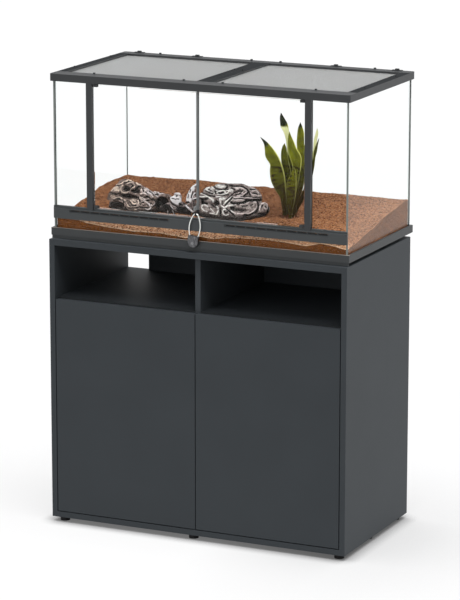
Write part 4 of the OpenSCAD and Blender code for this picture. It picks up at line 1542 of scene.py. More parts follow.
def near_strokes(drawn: np.ndarray, strokes: Sequence[Stroke], spread: float) -> np.ndarray:
    """Tells how much each point lies on any of the strokes.

    Args:
        drawn: Places on the drawing, in millimetres.
        strokes: Each stroke's half width and its bends, in millimetres.
        spread: Factor on the widths.

    Returns:
        1 on a stroke's middle line, fading to 0 beside it.
    """
    best = np.zeros(len(drawn))
    for width, bends in strokes:
        distance = np.full(len(drawn), 999.0)
        for start, end in itertools.pairwise(np.array(bends, float)):
            run = end - start
            share = np.clip((drawn - start) @ run / max(run @ run, 1e-6), 0, 1)
            distance = np.minimum(distance, np.linalg.norm(drawn - start - share[:, None] * run, axis=1))
        best = np.maximum(best, bell(distance, width * spread))
    return best


def in_ovals(drawn: np.ndarray, ovals: Sequence[Oval], edge: float) -> np.ndarray:
    """Tells how far inside any of the ovals each point lies.

    Args:
        drawn: Places on the drawing, in millimetres.
        ovals: Middle, half width and half height of each, in millimetres.
        edge: Width of the soft edge, in millimetres.

    Returns:
        1 well inside an oval, 0 outside.
    """
    best = np.zeros(len(drawn))
    for x, z, wide, high in ovals:
        reach = np.sqrt(((drawn[:, 0] - x) / wide) ** 2 + ((drawn[:, 1] - z) / high) ** 2)
        best = np.maximum(best, smooth_step((1 - reach) * min(wide, high), -edge / 2, edge / 2))
    return best


@dataclass(frozen=True)
class Carving:
    """Grooves, ridges, hollows darkened with painted shade, and pale patches on a lump's face, and looser cells
    round its back.

    Strokes (half width in millimetres, then bends) and ovals (middle, half width, half height) are given in
    the picture, in pixels. The camera carries them onto an upright plane, and from there they go onto
    the lump along a slant, from the front right and above.
    """

    grooves: tuple[Stroke, ...] = ()
    ridges: tuple[Stroke, ...] = ()
    patches: tuple[Oval, ...] = ()
    hollows: tuple[Oval, ...] = ()
    drawn_y: float = -60.0
    pixel_mm: tuple[float, float] = (3.41, 3.13)
    slant: tuple[float, float] = (0.464, 0.215)
    toward: Point = (0.41, -0.88, 0.22)
    groove_spread: float = 1.3
    ridge_spread: float = 1.0
    groove_edge: tuple[float, float] = (0.2, 0.55)
    ridge_edge: tuple[float, float] = (0.15, 0.6)
    patch_share: float = 0.85
    waver: float = 1.3
    groove_depth: float = 3.0
    ridge_height: float = 2.0
    hollow_depth: float = 5.0
    wild_size: float = 20.0
    crease_size: float = 9.0
    crease: float = 0.45
    cool: tuple[float, float] = (-300.0, -250.0)
    shade: tuple[float, float] = (1004.0, 1016.0)
    tone: float = 0.5
    seed: int = 20

    def drawn_strokes(self, strokes: Sequence[Stroke]) -> list[Stroke]:
        """Carries strokes from the picture onto the drawing's plane."""
        return [(width, tuple(SIGHT.meet(x, y, self.drawn_y) for x, y in bends)) for width, bends in strokes]

    def drawn_ovals(self, ovals: Sequence[Oval]) -> list[Oval]:
        """Carries ovals from the picture onto the drawing's plane."""
        width, height = self.pixel_mm
        return [(*SIGHT.meet(x, y, self.drawn_y), round(wide * width, 1), round(high * height, 1))
                for x, y, wide, high in ovals]

    def __call__(self, points: np.ndarray, normals: np.ndarray) -> dict[str, np.ndarray]:
        """Carves the points.

        Args:
            points: Points in millimetres.
            normals: Their normals.

        Returns:
            Height in millimetres and the finish's numbers.
        """
        wander = np.stack([smooth_noise(points, 9.0, self.seed + n) for n in range(3)], axis=1)
        bent = points + wander * self.waver
        behind = bent[:, 1] - self.drawn_y
        drawn = np.stack([bent[:, 0] + self.slant[0] * behind, bent[:, 2] + self.slant[1] * behind], axis=1)
        facing = smooth_step(normals @ np.array(self.toward), -0.1, 0.15)
        edge, _ = cell_borders(points * np.array([0.8, 1.0, 1.35]), self.wild_size, self.seed + 20)
        wild = bell(edge * self.wild_size * 0.55, 1.5) * (1 - facing)
        lines = bell(smooth_noise(points, self.crease_size, self.seed + 40), 0.10) * self.crease
        fine = rough_noise(points, 8.0, self.seed + 50, 3, 0.65)
        hollow = in_ovals(drawn, self.drawn_ovals(self.hollows), 4.0) * facing
        grooves = near_strokes(drawn, self.drawn_strokes(self.grooves), self.groove_spread)
        cut = np.maximum(grooves * facing, wild)
        worn = 0.75 + 0.5 * smooth_noise(points, 7.0, self.seed + 60)
        ridges = near_strokes(drawn, self.drawn_strokes(self.ridges), self.ridge_spread)
        ridge = ridges * facing * (1 - 0.7 * cut) * worn
        patch = in_ovals(drawn, self.drawn_ovals(self.patches), 5.0) * facing
        height = (self.ridge_height * ridge - self.groove_depth * cut - self.hollow_depth * hollow
                  - 0.8 * lines + 0.9 * fine)
        # Painted shade: darker towards the foot, below the shade heights, and in the hollows.
        foot = smooth_step(-points[:, 2], -self.shade[1], -self.shade[0])
        dark = np.maximum.reduce([smooth_step(cut, *self.groove_edge), hollow * (0.95 + 0.3 * fine),
                                  lines * (1 - ridge), 0.9 * foot * (1 - ridge)])
        pale = np.maximum(smooth_step(ridge, *self.ridge_edge), patch * (self.patch_share + 0.5 * fine))
        return {
            "height": height, "groove": dark, "rim": pale * (1 - dark), "tone": self.tone + 1.5 * fine,
            "cool": smooth_step(drawn[:, 0], *self.cool),
        }


@dataclass(frozen=True)
class StoneCarving(Carving):
    """Closed black grooves with pale rims round raised fields."""

    grooves: tuple[Stroke, ...] = (
        (2.2, ((229.5, 185), (234, 185.6), (240, 186), (243.5, 186.3), (246.5, 188.5),
               (248.5, 190.5), (247, 193), (244, 195.2))),
        (1.8, ((248.5, 190.5), (249.5, 193), (250.5, 195))), (2.2, ((254, 193), (257, 193.7))),
        (3.0, ((258.5, 188.5), (260, 190), (261.3, 192))), (1.8, ((250, 189), (256, 189.3))),
        (2.2, ((218.8, 192.3), (220.7, 192.9), (223.5, 191.8))), (2.0, ((215.3, 190.8), (215.8, 193))),
        (2.2, ((225.5, 184), (227.5, 185.2), (227.5, 187), (226, 188))),
        (1.8, ((213.5, 184.8), (216.5, 188.6), (221, 189.3), (228, 189))),
        (1.8, ((235.5, 192.2), (238, 191), (240.3, 190.2), (240.2, 189))),
        (2.2, ((236, 194.6), (238.6, 194.2), (240.3, 193.2))), (2.2, ((241.3, 191.2), (242.7, 190.3))),
        (1.8, ((231.5, 187.6), (233, 188.3), (235, 189.5))),
        (1.8, ((236, 191.5), (233, 193), (231, 195.3), (229, 197), (226.5, 199.6))),
        (2.2, ((232.2, 197.5), (230, 200), (228, 202), (225.8, 204.6))),
        (3.6, ((231.5, 202), (234, 203.2), (238, 203), (243, 202.5), (246, 201),
               (250, 200.2), (256, 199.8), (262, 199.7))),
        (3.2, ((262, 199.7), (266, 200.3), (268.3, 202), (269.4, 206), (269, 209), (267.5, 212.5))),
        (2.6, ((257.8, 201.8), (258.9, 204.5), (258.4, 208), (257, 211),
               (254.5, 213.2), (250, 214.8), (244, 215.3))),
        (2.6, ((227, 208.5), (229, 210.5), (231.5, 213), (234, 215.5))),
        (2.6, ((220.3, 208.5), (220.3, 212), (220.9, 216))),
        (2.0, ((224, 211), (225.4, 212.8), (227.8, 211.6))), (2.2, ((204, 202.8), (207, 203.8))),
        (1.6, ((209.2, 207), (210, 207.9))), (2.2, ((211.5, 204.5), (214, 205.9), (215.6, 207.2))),
        (2.8, ((200.5, 198.5), (204, 199.2), (208, 198.4))), (4.0, ((202.3, 200.5), (202.5, 203))),
        (1.5, ((201, 191.2), (204, 193.4), (208, 195.2), (212, 195.6), (215, 196.6))),
        (2.4, ((208, 184.9), (212, 184.6), (214, 184))),
        (1.5, ((205.5, 190.5), (209, 192.5), (213, 193.6))), (1.5, ((208.5, 189), (211.5, 190.2))),
        (1.4, ((222, 196), (226, 194.8), (229, 195))), (1.6, ((242, 205.9), (245, 206), (247.5, 205.1))),
        (1.8, ((251.2, 205.2), (253, 204.2))), (2.2, ((231, 207.2), (233.5, 207.4))),
        (2.2, ((262, 206.2), (263, 205.2))), (1.6, ((265.8, 206), (266.6, 207.6))),
        (1.3, ((234, 198.4), (242, 198.6), (250, 199), (259, 199))),
        (1.3, ((241, 196.3), (248, 196.4), (254, 197.2), (260, 197.3))),
        (1.6, ((216, 199.5), (218, 201))), (1.4, ((223, 200.5), (222, 204))),
    )
    ridges: tuple[Stroke, ...] = (
        (1.8, ((205.2, 189.3), (207.5, 187.2), (211, 186.4), (214.2, 188.8))),
        (2.2, ((216.4, 192.9), (218, 191.3), (221, 190.6), (224, 190.9), (225.7, 191.8),
               (224.5, 193), (221, 194.2), (217.5, 193.9))),
        (1.8, ((226, 194), (228, 193), (229.2, 191))),
        (1.8, ((235, 188), (240, 187.4), (243.5, 188.6), (246.3, 190),
               (246.8, 191.6), (245, 193.3), (242.8, 194))),
        (1.8, ((259, 192.5), (256, 190.4), (252.5, 190.9), (250.5, 192.7),
               (252.8, 194.8), (257, 195.6), (261, 195.2))),
        (2.4, ((231.2, 196.6), (228.7, 199.3), (226, 202), (223.9, 204.4))),
        (2.2, ((232.7, 198.9), (230.7, 201.3), (228.2, 204.8), (226.3, 207.2))),
        (2.0, ((226, 207), (229, 209.1), (232, 211.3), (235.5, 213.4))),
        (2.2, ((240.5, 204.6), (244, 204), (247, 202.9), (250, 201.6), (253, 201.2), (256, 202.3), (257, 204.5),
               (256.5, 208), (254.5, 210.5), (252, 212.5), (248, 213.6), (242, 213.6), (237, 213.6))),
        (2.4, ((259.8, 210), (260.2, 206), (262, 203.6), (264.5, 202.6),
               (267, 203.8), (268.1, 206.5), (267.5, 209.5))),
        (3.0, ((208.7, 197.6), (211, 198.3), (213, 199.5), (214, 201.5))),
        (2.0, ((200, 196.3), (204, 196.7), (208, 197))),
        (1.8, ((229.3, 212), (226.5, 209.2), (223.8, 209.4), (222.4, 211.5),
               (223.5, 214.2), (226, 215.2), (228.6, 214.3))),
        (2.2, ((220.2, 199), (220.8, 203), (222, 206), (224, 207.6))),
        (2.0, ((202.5, 205), (202, 208), (204, 210.3), (207.5, 211.4))),
        (1.6, ((210, 213), (214, 213.9), (217.3, 214.5), (218.5, 211), (218, 207.5), (215.5, 203.5))),
        (1.5, ((234, 197.2), (242, 197.3), (250, 198), (260, 198.2))),
        (1.4, ((234, 199.8), (244, 199.7))), (1.6, ((237, 195.6), (241, 195.2), (243.5, 195.9))),
        (1.6, ((239, 192.6), (242, 192.6), (243.5, 191.2))),
        (1.8, ((214, 191), (217, 189.9), (221, 190))), (1.6, ((200, 192.8), (203, 194.6), (207, 196))),
        (1.6, ((216, 197), (219, 196.2), (221, 197))), (2.4, ((236.5, 188.3), (238, 188.8))),
        (1.8, ((222.5, 190.2), (226.5, 190), (229.5, 191))),
        (1.4, ((203.5, 205), (207, 206), (211, 208.5), (215, 212.5))),
        (2.0, ((228.5, 205.6), (231, 205.2), (236, 204.9))), (1.8, ((264, 206.6), (266, 209.5))),
        (1.5, ((251, 188.2), (256, 188.2))),
    )
    patches: tuple[Oval, ...] = (
        (220.5, 186, 5, 1.9), (209, 189, 4, 2.2), (238, 188.3, 2.2, 1.2), (255, 187.6, 4, 1.0),
        (224, 193.5, 3, 1.2), (212, 193, 3, 1.0), (231, 190, 2.2, 2.0), (223, 198.5, 3, 1.6),
    )
    hollows: tuple[Oval, ...] = (
        (216.3, 203, 2.6, 2.8), (238, 209.5, 9, 1.4), (262, 214.5, 5, 1.6), (266, 197, 1.5, 3),
    )
    cool: tuple[float, float] = (20.0, 60.0)
    shade: tuple[float, float] = (1006.0, 1022.0)


@dataclass(frozen=True)
class BarkCarving(Carving):
    """Long wavy bark ridges with a knot ring, and hollows darkened with painted shade."""

    grooves: tuple[Stroke, ...] = (
        (2.4, ((130.3, 187.7), (132, 186.1), (132.7, 185.7))),
        (3.0, ((131.5, 190.6), (134, 189.2), (136.8, 187.6), (138.2, 185.9), (140, 186))),
        (2.0, ((113, 193.2), (116, 194.3), (119, 193.2))),
        (2.4, ((117, 198.5), (119.5, 198.3), (121.2, 199.6))),
        (2.4, ((123, 200), (124.3, 202), (123.5, 204.5))), (2.4, ((125.3, 206.5), (126.5, 209))),
        (2.0, ((130, 201.8), (132, 204), (134.5, 205.3), (136.5, 204.9))),
        (1.8, ((134, 201), (136, 202.4), (137, 202))), (2.2, ((138.4, 196.5), (138.7, 199.3))),
        (2.2, ((140, 199.8), (140.3, 201.5))), (2.2, ((141, 195.3), (142.6, 195.7))),
        (2.6, ((144, 196.9), (147, 196.3), (149, 197), (150.5, 198.5),
               (152.2, 199.6), (154, 199), (155.8, 200.2))),
        (2.2, ((147, 200.5), (149.2, 200.3))), (2.0, ((141, 204.2), (142.5, 202.6), (144.2, 202))),
        (1.8, ((143, 204.4), (144.6, 205.2))), (2.0, ((150.5, 203.6), (152, 203.1))),
        (2.0, ((137, 207.4), (141, 207), (145, 207.6), (148.5, 207))),
        (1.8, ((143.3, 186.4), (145, 186.9))), (1.8, ((149, 187.4), (153, 189))),
        (1.8, ((156, 188.9), (158.2, 189.6))), (2.2, ((160.4, 191.9), (161.6, 192.4))),
        (1.6, ((143.6, 191.3), (143.3, 188.8))), (1.6, ((140.7, 188.3), (140, 190.6))),
        (1.6, ((145.5, 191.3), (147.3, 193), (148.6, 194.5))),
        (1.6, ((149.4, 190.6), (152, 193), (154, 195.6))), (1.8, ((155.5, 194.6), (158.5, 194.2))),
        (1.6, ((112, 187.8), (114.5, 185.7), (118, 185.4), (121, 184.7))),
        (2.0, ((123.5, 182.8), (126.5, 182.2), (128.5, 181.4), (131.5, 181.8))),
        (1.6, ((128.5, 184.2), (131, 184.1), (133, 185.3))), (1.8, ((113.5, 199.5), (116, 199.2))),
        (1.8, ((110, 192.6), (111.5, 193.6), (112.5, 195.6))),
        (1.8, ((120, 189.5), (119.3, 191.5), (120.5, 193.3))),
        (1.6, ((129, 208), (133, 207.9), (136, 208))),
        (1.8, ((152.5, 207.5), (154.5, 206), (156.5, 204.5))),
        (1.6, ((146.5, 203.7), (148.3, 205.2), (149, 206.4))),
        (1.6, ((128.3, 203), (129.6, 205.2), (132, 206))),
    )
    ridges: tuple[Stroke, ...] = (
        (2.4, ((122.6, 185.3), (121, 187.5), (120.8, 190), (122.5, 191.8),
               (125.5, 193.2), (127.5, 192.5), (128.5, 191.2))),
        (2.4, ((118.8, 184.6), (121.5, 183), (124, 181.2), (127, 180.4), (130, 180.5),
               (133, 180.9), (135.2, 181.2), (136.3, 182.8), (136.9, 184.2))),
        (2.0, ((127, 182.9), (130, 182.6), (132.5, 183.3), (134.3, 184.8), (135, 186.5),
               (133, 187.4), (131, 188.7), (130, 190.3))),
        (2.2, ((115.3, 184.6), (119, 184.2))),
        (2.4, ((111.2, 191), (112.5, 189.8), (113.5, 188), (115, 186.8), (118, 186.6))),
        (2.4, ((110, 196.5), (112, 195), (114, 195.6), (116, 197),
               (117.6, 196.9), (120, 197.3), (122.5, 198.8))),
        (2.0, ((117.5, 193), (118.8, 193.6))),
        (2.2, ((137, 184.2), (140, 184.5), (142.5, 185.2), (144, 187.5))),
        (2.2, ((136, 193.6), (138, 192.4))),
        (2.2, ((140.8, 193.7), (143.5, 193), (146, 193.9), (148.5, 195.1))),
        (1.8, ((142.2, 189.7), (141.5, 191.3))),
        (2.0, ((145.5, 189.5), (148.5, 190), (151, 191.4), (153.5, 193.4), (156, 195.7), (158.5, 196.4))),
        (1.8, ((147, 191.6), (149.5, 193.2), (151.5, 195.1), (153, 197.3))),
        (2.4, ((151.5, 189.6), (153.6, 190.9), (156, 192.6))),
        (2.6, ((156.8, 190.6), (158.5, 192.3), (160.5, 193.4), (163, 193.6))),
        (2.4, ((151.6, 186.2), (153.3, 187.6))),
        (2.4, ((126.4, 201.3), (127, 204), (129, 205.9), (132, 206.8), (135, 206.8),
               (138, 205.6), (139.4, 203), (138.6, 200.4))),
        (2.2, ((131, 200.7), (133, 203), (135.5, 204), (137.7, 202.6))),
        (2.2, ((141.3, 200.2), (143.5, 199.3), (145.8, 199.6), (149, 199.2))),
        (2.2, ((140.8, 203.8), (142, 201.9), (144.5, 200.9), (147, 201.7),
               (148.8, 203.4), (150.3, 205.4))),
        (2.4, ((145, 208), (147.5, 209.2), (150, 208.7), (151.2, 207))),
        (2.4, ((151.5, 205), (153.2, 206), (154.8, 204.3), (156.3, 202.5), (156.7, 201))),
        (1.8, ((127.5, 207.6), (130, 209.2), (134, 208.9), (138, 208.9))),
        (1.8, ((133, 199.5), (136, 199.6), (137.4, 198.4))),
        (2.0, ((145, 188), (148, 188.5), (150.5, 188.8))), (1.8, ((123, 199.8), (125.5, 200.5))),
        (1.6, ((139, 196.8), (141, 197.4), (143, 197.9))),
        (1.8, ((114, 191.3), (117, 190.6), (119, 190.8))),
    )
    patches: tuple[Oval, ...] = (
        (116.2, 188.8, 3.6, 2.2), (112.5, 196.8, 2.4, 1.4), (144, 190.5, 2.6, 1.6), (150, 192.5, 4, 2.0),
        (133.5, 201.8, 2.6, 1.6), (142, 198.6, 3, 0.9), (158, 193.5, 3, 1.2), (129.5, 181.5, 4, 0.8),
    )
    hollows: tuple[Oval, ...] = (
        (126.3, 188.3, 4.2, 3.3), (135.8, 190.4, 4.6, 2.6), (129, 196.3, 10, 2.4), (117, 204.5, 8, 4.2),
        (162.5, 204, 7.2, 7.8),
    )
    groove_spread: float = 1.1
    ridge_spread: float = 0.8
    waver: float = 2.0
    crease_size: float = 7.0
    crease: float = 0.7
    seed: int = 120


@dataclass(frozen=True)
class WoodCarving(Carving):
    """Splits and pale edges of weathered driftwood, with painted shade on its undersides."""

    grooves: tuple[Stroke, ...] = (
        (2.6, ((170.3, 201), (172, 203), (175, 205.1), (177.5, 206.6))),
        (3.4, ((180, 203.7), (182.3, 205))), (3.2, ((186, 202.8), (188.6, 201.9))),
        (2.0, ((193.5, 191.6), (192.1, 195), (191.4, 198))), (2.6, ((195, 194.7), (195.6, 194.9))),
        (2.2, ((195, 199.7), (198, 199.4))), (2.6, ((185, 207.2), (187.5, 209.3), (189.8, 211.3))),
        (2.0, ((187.3, 193), (187.9, 192.2))), (2.4, ((193.8, 207.8), (194.4, 209))),
        (2.2, ((176.5, 196.2), (177.6, 195.7))), (3.0, ((183.3, 195), (183.5, 200), (184.5, 204))),
        (2.2, ((171.5, 208.7), (172.3, 209.3))), (1.6, ((188.5, 194), (188, 197.5))),
        (1.6, ((190.8, 189.5), (190.2, 192.5))), (1.4, ((172, 198.4), (176, 199.2), (179, 199))),
        (1.6, ((196.8, 201), (196.6, 206))), (1.4, ((194, 201.5), (193.8, 206))),
    )
    ridges: tuple[Stroke, ...] = (
        (3.0, ((176, 193), (178.4, 193.2), (180, 194))),
        (4.5, ((172, 197.5), (176, 199.3), (180, 200.8))), (2.6, ((179.5, 201.5), (181.4, 201.8))),
        (2.0, ((172.5, 201.3), (176, 203.4), (179, 204.4))),
        (2.2, ((170.7, 206.2), (172.5, 207.6), (174, 209.4), (176, 210.7), (178, 210.5))),
        (1.8, ((173, 210.8), (174, 212.6), (175, 214.6))), (1.8, ((168.3, 211), (168.6, 213.8))),
        (3.2, ((196.2, 184), (193.5, 185.8), (191.2, 189), (189.4, 193), (188, 197), (187.4, 200))),
        (3.0, ((194, 187), (192.3, 190.5), (191, 194.5), (190, 199))),
        (2.0, ((195.2, 192.8), (193.3, 195), (192.6, 197.2))),
        (2.0, ((192.5, 199.1), (195, 198.4), (197.2, 197))), (2.2, ((185.3, 194.8), (186.6, 192.4))),
        (3.4, ((186.3, 205.6), (188, 207.3), (190.5, 209.8), (192.8, 211.6))),
        (2.6, ((187.9, 204.2), (188.7, 203.7))), (1.6, ((197, 191), (197.3, 196))),
    )
    patches: tuple[Oval, ...] = (
        (175.8, 199.3, 6.2, 4.2), (189.3, 196, 3.2, 6.0), (192.3, 188.3, 2.4, 4.2),
        (179.7, 200.8, 1.6, 1.0), (192.6, 211, 1.2, 1.0), (177.5, 193.6, 2.6, 1.2),
    )
    hollows: tuple[Oval, ...] = (
        (181, 209.5, 5.5, 3.6), (166, 207, 5, 3.5),
    )
    groove_depth: float = 1.6
    ridge_height: float = 1.0
    hollow_depth: float = 1.0
    groove_spread: float = 1.0
    patch_share: float = 1.15
    crease: float = 0.2
    cool: tuple[float, float] = (-400.0, -390.0)
    shade: tuple[float, float] = (1010.0, 1024.0)
    seed: int = 220


@dataclass
class Scape:
    """The two stones and the driftwood."""

    left: Lump = field(default_factory=lambda: Lump(
        "bark_stone_left", "stone_left",
        (((-393, 0, 8, 33), (-352, -22, 44, 34), (-300, -42, 30, 33), (-262, -55, 24, 31), (-228, -66, 8, 27)),
         ((-356, -78, 4, 25), (-300, -88, 0, 27), (-252, -92, -4, 25)),
         ((-232, -58, 42, 12), (-184, -52, 40, 7), (-200, -40, 12, 20))), Slot.STONE, skin_mm=1.6, seed=5))
    right: Lump = field(default_factory=lambda: Lump(
        "carved_stone_right", "stone_right",
        (((-52, -45, 36, 36), (-28, 0, 50, 36), (30, 8, 54, 36), (76, -6, 48, 34), (88, -52, 10, 32)),
         ((-48, -44, 54, 27), (-52, -45, 30, 34), (0, -30, 54, 34)),
         ((-44, -72, 6, 30), (18, -84, 2, 32), (66, -78, 0, 28)), ((108, -42, 12, 24), (126, -26, 21, 21))),
        Slot.STONE, skin_mm=1.6, swell_mm=3.0, seed=8))
    wood: Lump = field(default_factory=lambda: Lump(
        "driftwood_fork", "driftwood",
        (((-167, -75, 41, 4), (-134, -75, 48, 4), (-136, -75, 29, 4), (-142, -77, 25, 4), (-163, -77, 35, 4),
          (-150, -60, 46, 7)),
         ((-158, -66, 53, 4), (-146, -66, 55, 4), (-140, -66, 46, 6)),
         ((-194, -72, 4, 15), (-90, -78, 4, 14), (-150, -60, 12, 16), (-148, -66, 26, 10)),
         ((-110, -74, 36, 8), (-94, -72, 36, 9), (-104, -70, 61, 8), (-92, -68, 60, 8)),
         ((-104, -70, 61, 8), (-92, -68, 62, 7), (-93, -66, 80, 6)),
         ((-93, -66, 80, 6), (-84, -64, 90, 2.8)), ((-84, -70, 60, 6), (-82, -70, 48, 7), (-92, -74, 44, 8)),
         ((-92, -74, 32, 9), (-84, -76, 18, 9), (-98, -78, 14, 9)), ((-107, -95, 26, 4), (-84, -98, 11, 4)),
         ((-158, -100, 21, 2.6), (-143, -102, 14, 2.6)), ((-143, -102, 14, 2.6), (-132, -100, 10, 2.6)),
         ((-149, -101, 9, 2.6), (-142, -104, -3, 2.6)), ((-165, -100, 6, 2.6), (-164, -103, -4, 2.6))),
        Slot.WOOD, skin_mm=1.5, swell_mm=0.9, swell_size_mm=14.0, seed=13))

    def build(self, finishes: Finishes) -> None:
        """Adds the three lumps.

        Args:
            finishes: The finishes.
        """
        self.left.build(finishes.bark, BarkCarving())
        self.right.build(finishes.stone, StoneCarving())
        self.wood.build(finishes.wood, WoodCarving())


@dataclass(frozen=True)
class Leaf:
    """One leaf, upright at y, with its foot at x, both in millimetres.

    Its edges are given on an enlarged crop of the picture: rows from tip to base, each with its
    place down the crop and its left and right edge.
    """

    x: int
    y: int
    rows: tuple[tuple[float, float, float], ...]
    turn: float = 0.0
    cup: float = 0.22
    cream: tuple[float, float] | None = None
    tip: float = 0.985
    # light: painted light and shade on the whole leaf, from shaded at 0 to lit at 1.
    light: float = 0.5
    crop: tuple[float, float] = (250.0, 105.0)
    enlarged: float = 9.5
    pixel_mm: float = 3.06
    foot_mm: int = 1000
    clear_mm: int = 1008
    foot_width_mm: float = 4.5
    tip_width_mm: float = 0.4

    def line(self) -> list[tuple[float, float, float, float]]:
        """The leaf's middle line with half widths, in millimetres, from base to tip."""
        places = []
        for down, left, right in reversed(self.rows):
            x, z = SIGHT.meet((left + right) / 2 / self.enlarged + self.crop[0],
                              down / self.enlarged + self.crop[1], self.y)
            half = round((right - left) / 2 / self.enlarged * self.pixel_mm, 1)
            places.append((x, self.y, z, max(self.tip_width_mm, half)))
        foot = (self.x, self.y, self.foot_mm, max(self.foot_width_mm, places[0][3]))
        return [foot] + [place for place in places if place[2] > self.clear_mm]


@dataclass
class Plant:
    """The sword-leaved plant and the dark patch at its root."""

    rows: int = 60
    columns: int = 8
    numbers: tuple[str, ...] = ("cream", "tip", "root", "low", "light")
    thickness: float = 1.6 * MM
    facing: float = math.radians(25.0)
    root_heights: tuple[float, float] = (1.040, 1.175)
    low_heights: tuple[float, float] = (1.150, 1.200)
    leaves: tuple[Leaf, ...] = (
        Leaf(187, 25,
             ((72, 295, 295), (110, 285, 318), (150, 285, 340), (195, 290, 362), (240, 315, 372),
              (290, 333, 377), (360, 345, 380), (450, 352, 392), (560, 362, 405), (700, 372, 425),
              (850, 368, 425), (1000, 360, 400)), 0.1, cream=(0.385, 0.73), tip=0.73, light=0.55),
        Leaf(205, 0,
             ((250, 375, 375), (300, 362, 395), (360, 358, 422), (430, 362, 450), (500, 378, 488),
              (560, 400, 490), (640, 405, 478), (760, 395, 455), (880, 380, 430), (1000, 370, 400)),
             -0.1, light=0.75),
        Leaf(207, 15,
             ((165, 480, 480), (220, 455, 503), (280, 446, 516), (360, 442, 522), (450, 448, 530),
              (560, 460, 530), (680, 440, 520), (800, 420, 490), (920, 405, 450), (1020, 395, 425)),
             0.15, tip=0.9, light=0.65),
        Leaf(192, -8,
             ((303, 98, 98), (360, 130, 165), (420, 137, 215), (470, 142, 250), (520, 175, 282),
              (560, 188, 298), (620, 186, 318), (700, 196, 336), (780, 232, 345), (860, 280, 348),
              (940, 300, 350), (1030, 312, 352)), 0.1, tip=0.87, light=0.6),
        Leaf(192, 10,
             ((362, 328, 330), (400, 305, 345), (460, 296, 358), (540, 300, 375), (620, 318, 392),
              (720, 335, 395), (840, 335, 385), (1000, 340, 375)), -0.3, light=0.35),
        Leaf(219, -30,
             ((588, 418, 420), (640, 395, 436), (700, 366, 442), (780, 342, 442), (860, 344, 436),
              (940, 350, 420), (1000, 362, 405), (1050, 368, 400)), -0.05, light=0.95),
        Leaf(222, -15,
             ((560, 520, 522), (620, 478, 520), (700, 462, 520), (780, 450, 508), (860, 440, 480),
              (940, 425, 455), (1040, 400, 430)), 0.4, light=0.15),
        Leaf(208, 30,
             ((222, 640, 642), (270, 622, 650), (340, 606, 640), (420, 598, 628), (520, 585, 612),
              (640, 555, 590), (760, 520, 560), (880, 475, 520), (1000, 420, 455)),
             0.3, cream=(0.4, 1.1), light=1.0),
        Leaf(210, 15,
             ((318, 658, 660), (380, 628, 648), (440, 606, 638), (500, 600, 625), (580, 585, 612),
              (680, 560, 590), (800, 510, 550), (920, 455, 495), (1020, 410, 440)), 0.25, light=0.1),
    )

    def blade(self, leaf: Leaf) -> dict[str, list]:
        """Makes one leaf's points, faces, spread and numbers.

        Args:
            leaf: The leaf.

        Returns:
            Its points, faces, spread coordinates and finish numbers.
        """
        line = np.array(leaf.line(), float)
        steps = np.linspace(0, 1, len(line))
        fine = np.linspace(0, 1, self.rows)
        track = np.stack([self.curve(steps, line[:, n], fine) for n in range(4)], axis=1)
        track[:, 3] = np.maximum(track[:, 3], 0.3)
        middle = track[:, :3] * MM
        length = np.concatenate([[0], np.cumsum(np.linalg.norm(np.diff(middle, axis=0), axis=1))])
        result: dict[str, list] = {"points": [], "faces": [], "spread": []} | {key: [] for key in self.numbers}
        angle = self.facing + leaf.turn
        outward = np.array([math.sin(angle), -math.cos(angle), 0.0])
        for face in (1, -1):
            for r in range(self.rows):
                ahead = middle[min(r + 1, self.rows - 1)] - middle[max(r - 1, 0)]
                ahead = ahead / np.linalg.norm(ahead)
                across = np.cross(ahead, outward)
                across = across / np.linalg.norm(across)
                normal = np.cross(across, ahead)
                half = track[r, 3] * MM
                for c in range(self.columns + 1):
                    u = 2 * c / self.columns - 1
                    lip = self.thickness / 2 * (1 - u * u) ** 0.5
                    cup = leaf.cup * half * (u * u - 0.4) + 0.0012 * math.sin(9 * fine[r] + 4 * u)
                    place = middle[r] + across * u * half + normal * (cup + face * lip)
                    result["points"].append(tuple(place))
                    result["spread"].append(((u + 1) / 2, float(length[r])))
                    inside = leaf.cream is not None and leaf.cream[0] < fine[r] + 0.03 * u < leaf.cream[1]
                    result["cream"].append(0.9 if inside else 0.0)
                    reach = np.array([fine[r] - 0.03 * abs(u)])
                    result["tip"].append(float(smooth_step(reach, leaf.tip - 0.02, leaf.tip + 0.02)[0]))
                    for key, (low, high) in (("root", self.root_heights), ("low", self.low_heights)):
                        result[key].append(float(smooth_step(np.array([-middle[r][2]]), -high, -low)[0]))
                    result["light"].append(leaf.light)
        row = self.columns + 1
        sheet = self.rows * row
        for r in range(self.rows - 1):
            for c in range(self.columns):
                a = r * row + c
                result["faces"].append((a, a + 1, a + row + 1, a + row))
                result["faces"].append((sheet + a, sheet + a + row, sheet + a + row + 1, sheet + a + 1))
        for ends in (0, (self.rows - 1) * row):
            loop = [ends + c for c in range(row)] + [sheet + ends + c for c in range(row - 2, 0, -1)]
            result["faces"].append(tuple(loop))
        return result

    @staticmethod
    def curve(steps: np.ndarray, values: np.ndarray, fine: np.ndarray) -> np.ndarray:
        """A smooth curve through values.

        Args:
            steps: Where the values stand.
            values: The values.
            fine: Where the curve is wanted.

        Returns:
            The curve's values.
        """
        slope = np.gradient(values, steps)
        place = np.clip(np.searchsorted(steps, fine, side="right") - 1, 0, len(steps) - 2)
        width = steps[place + 1] - steps[place]
        t = (fine - steps[place]) / width
        first = (1 + 2 * t) * (1 - t) ** 2 * values[place] + t * (1 - t) ** 2 * width * slope[place]
        last = t * t * (3 - 2 * t) * values[place + 1] + t * t * (t - 1) * width * slope[place + 1]
        return first + last

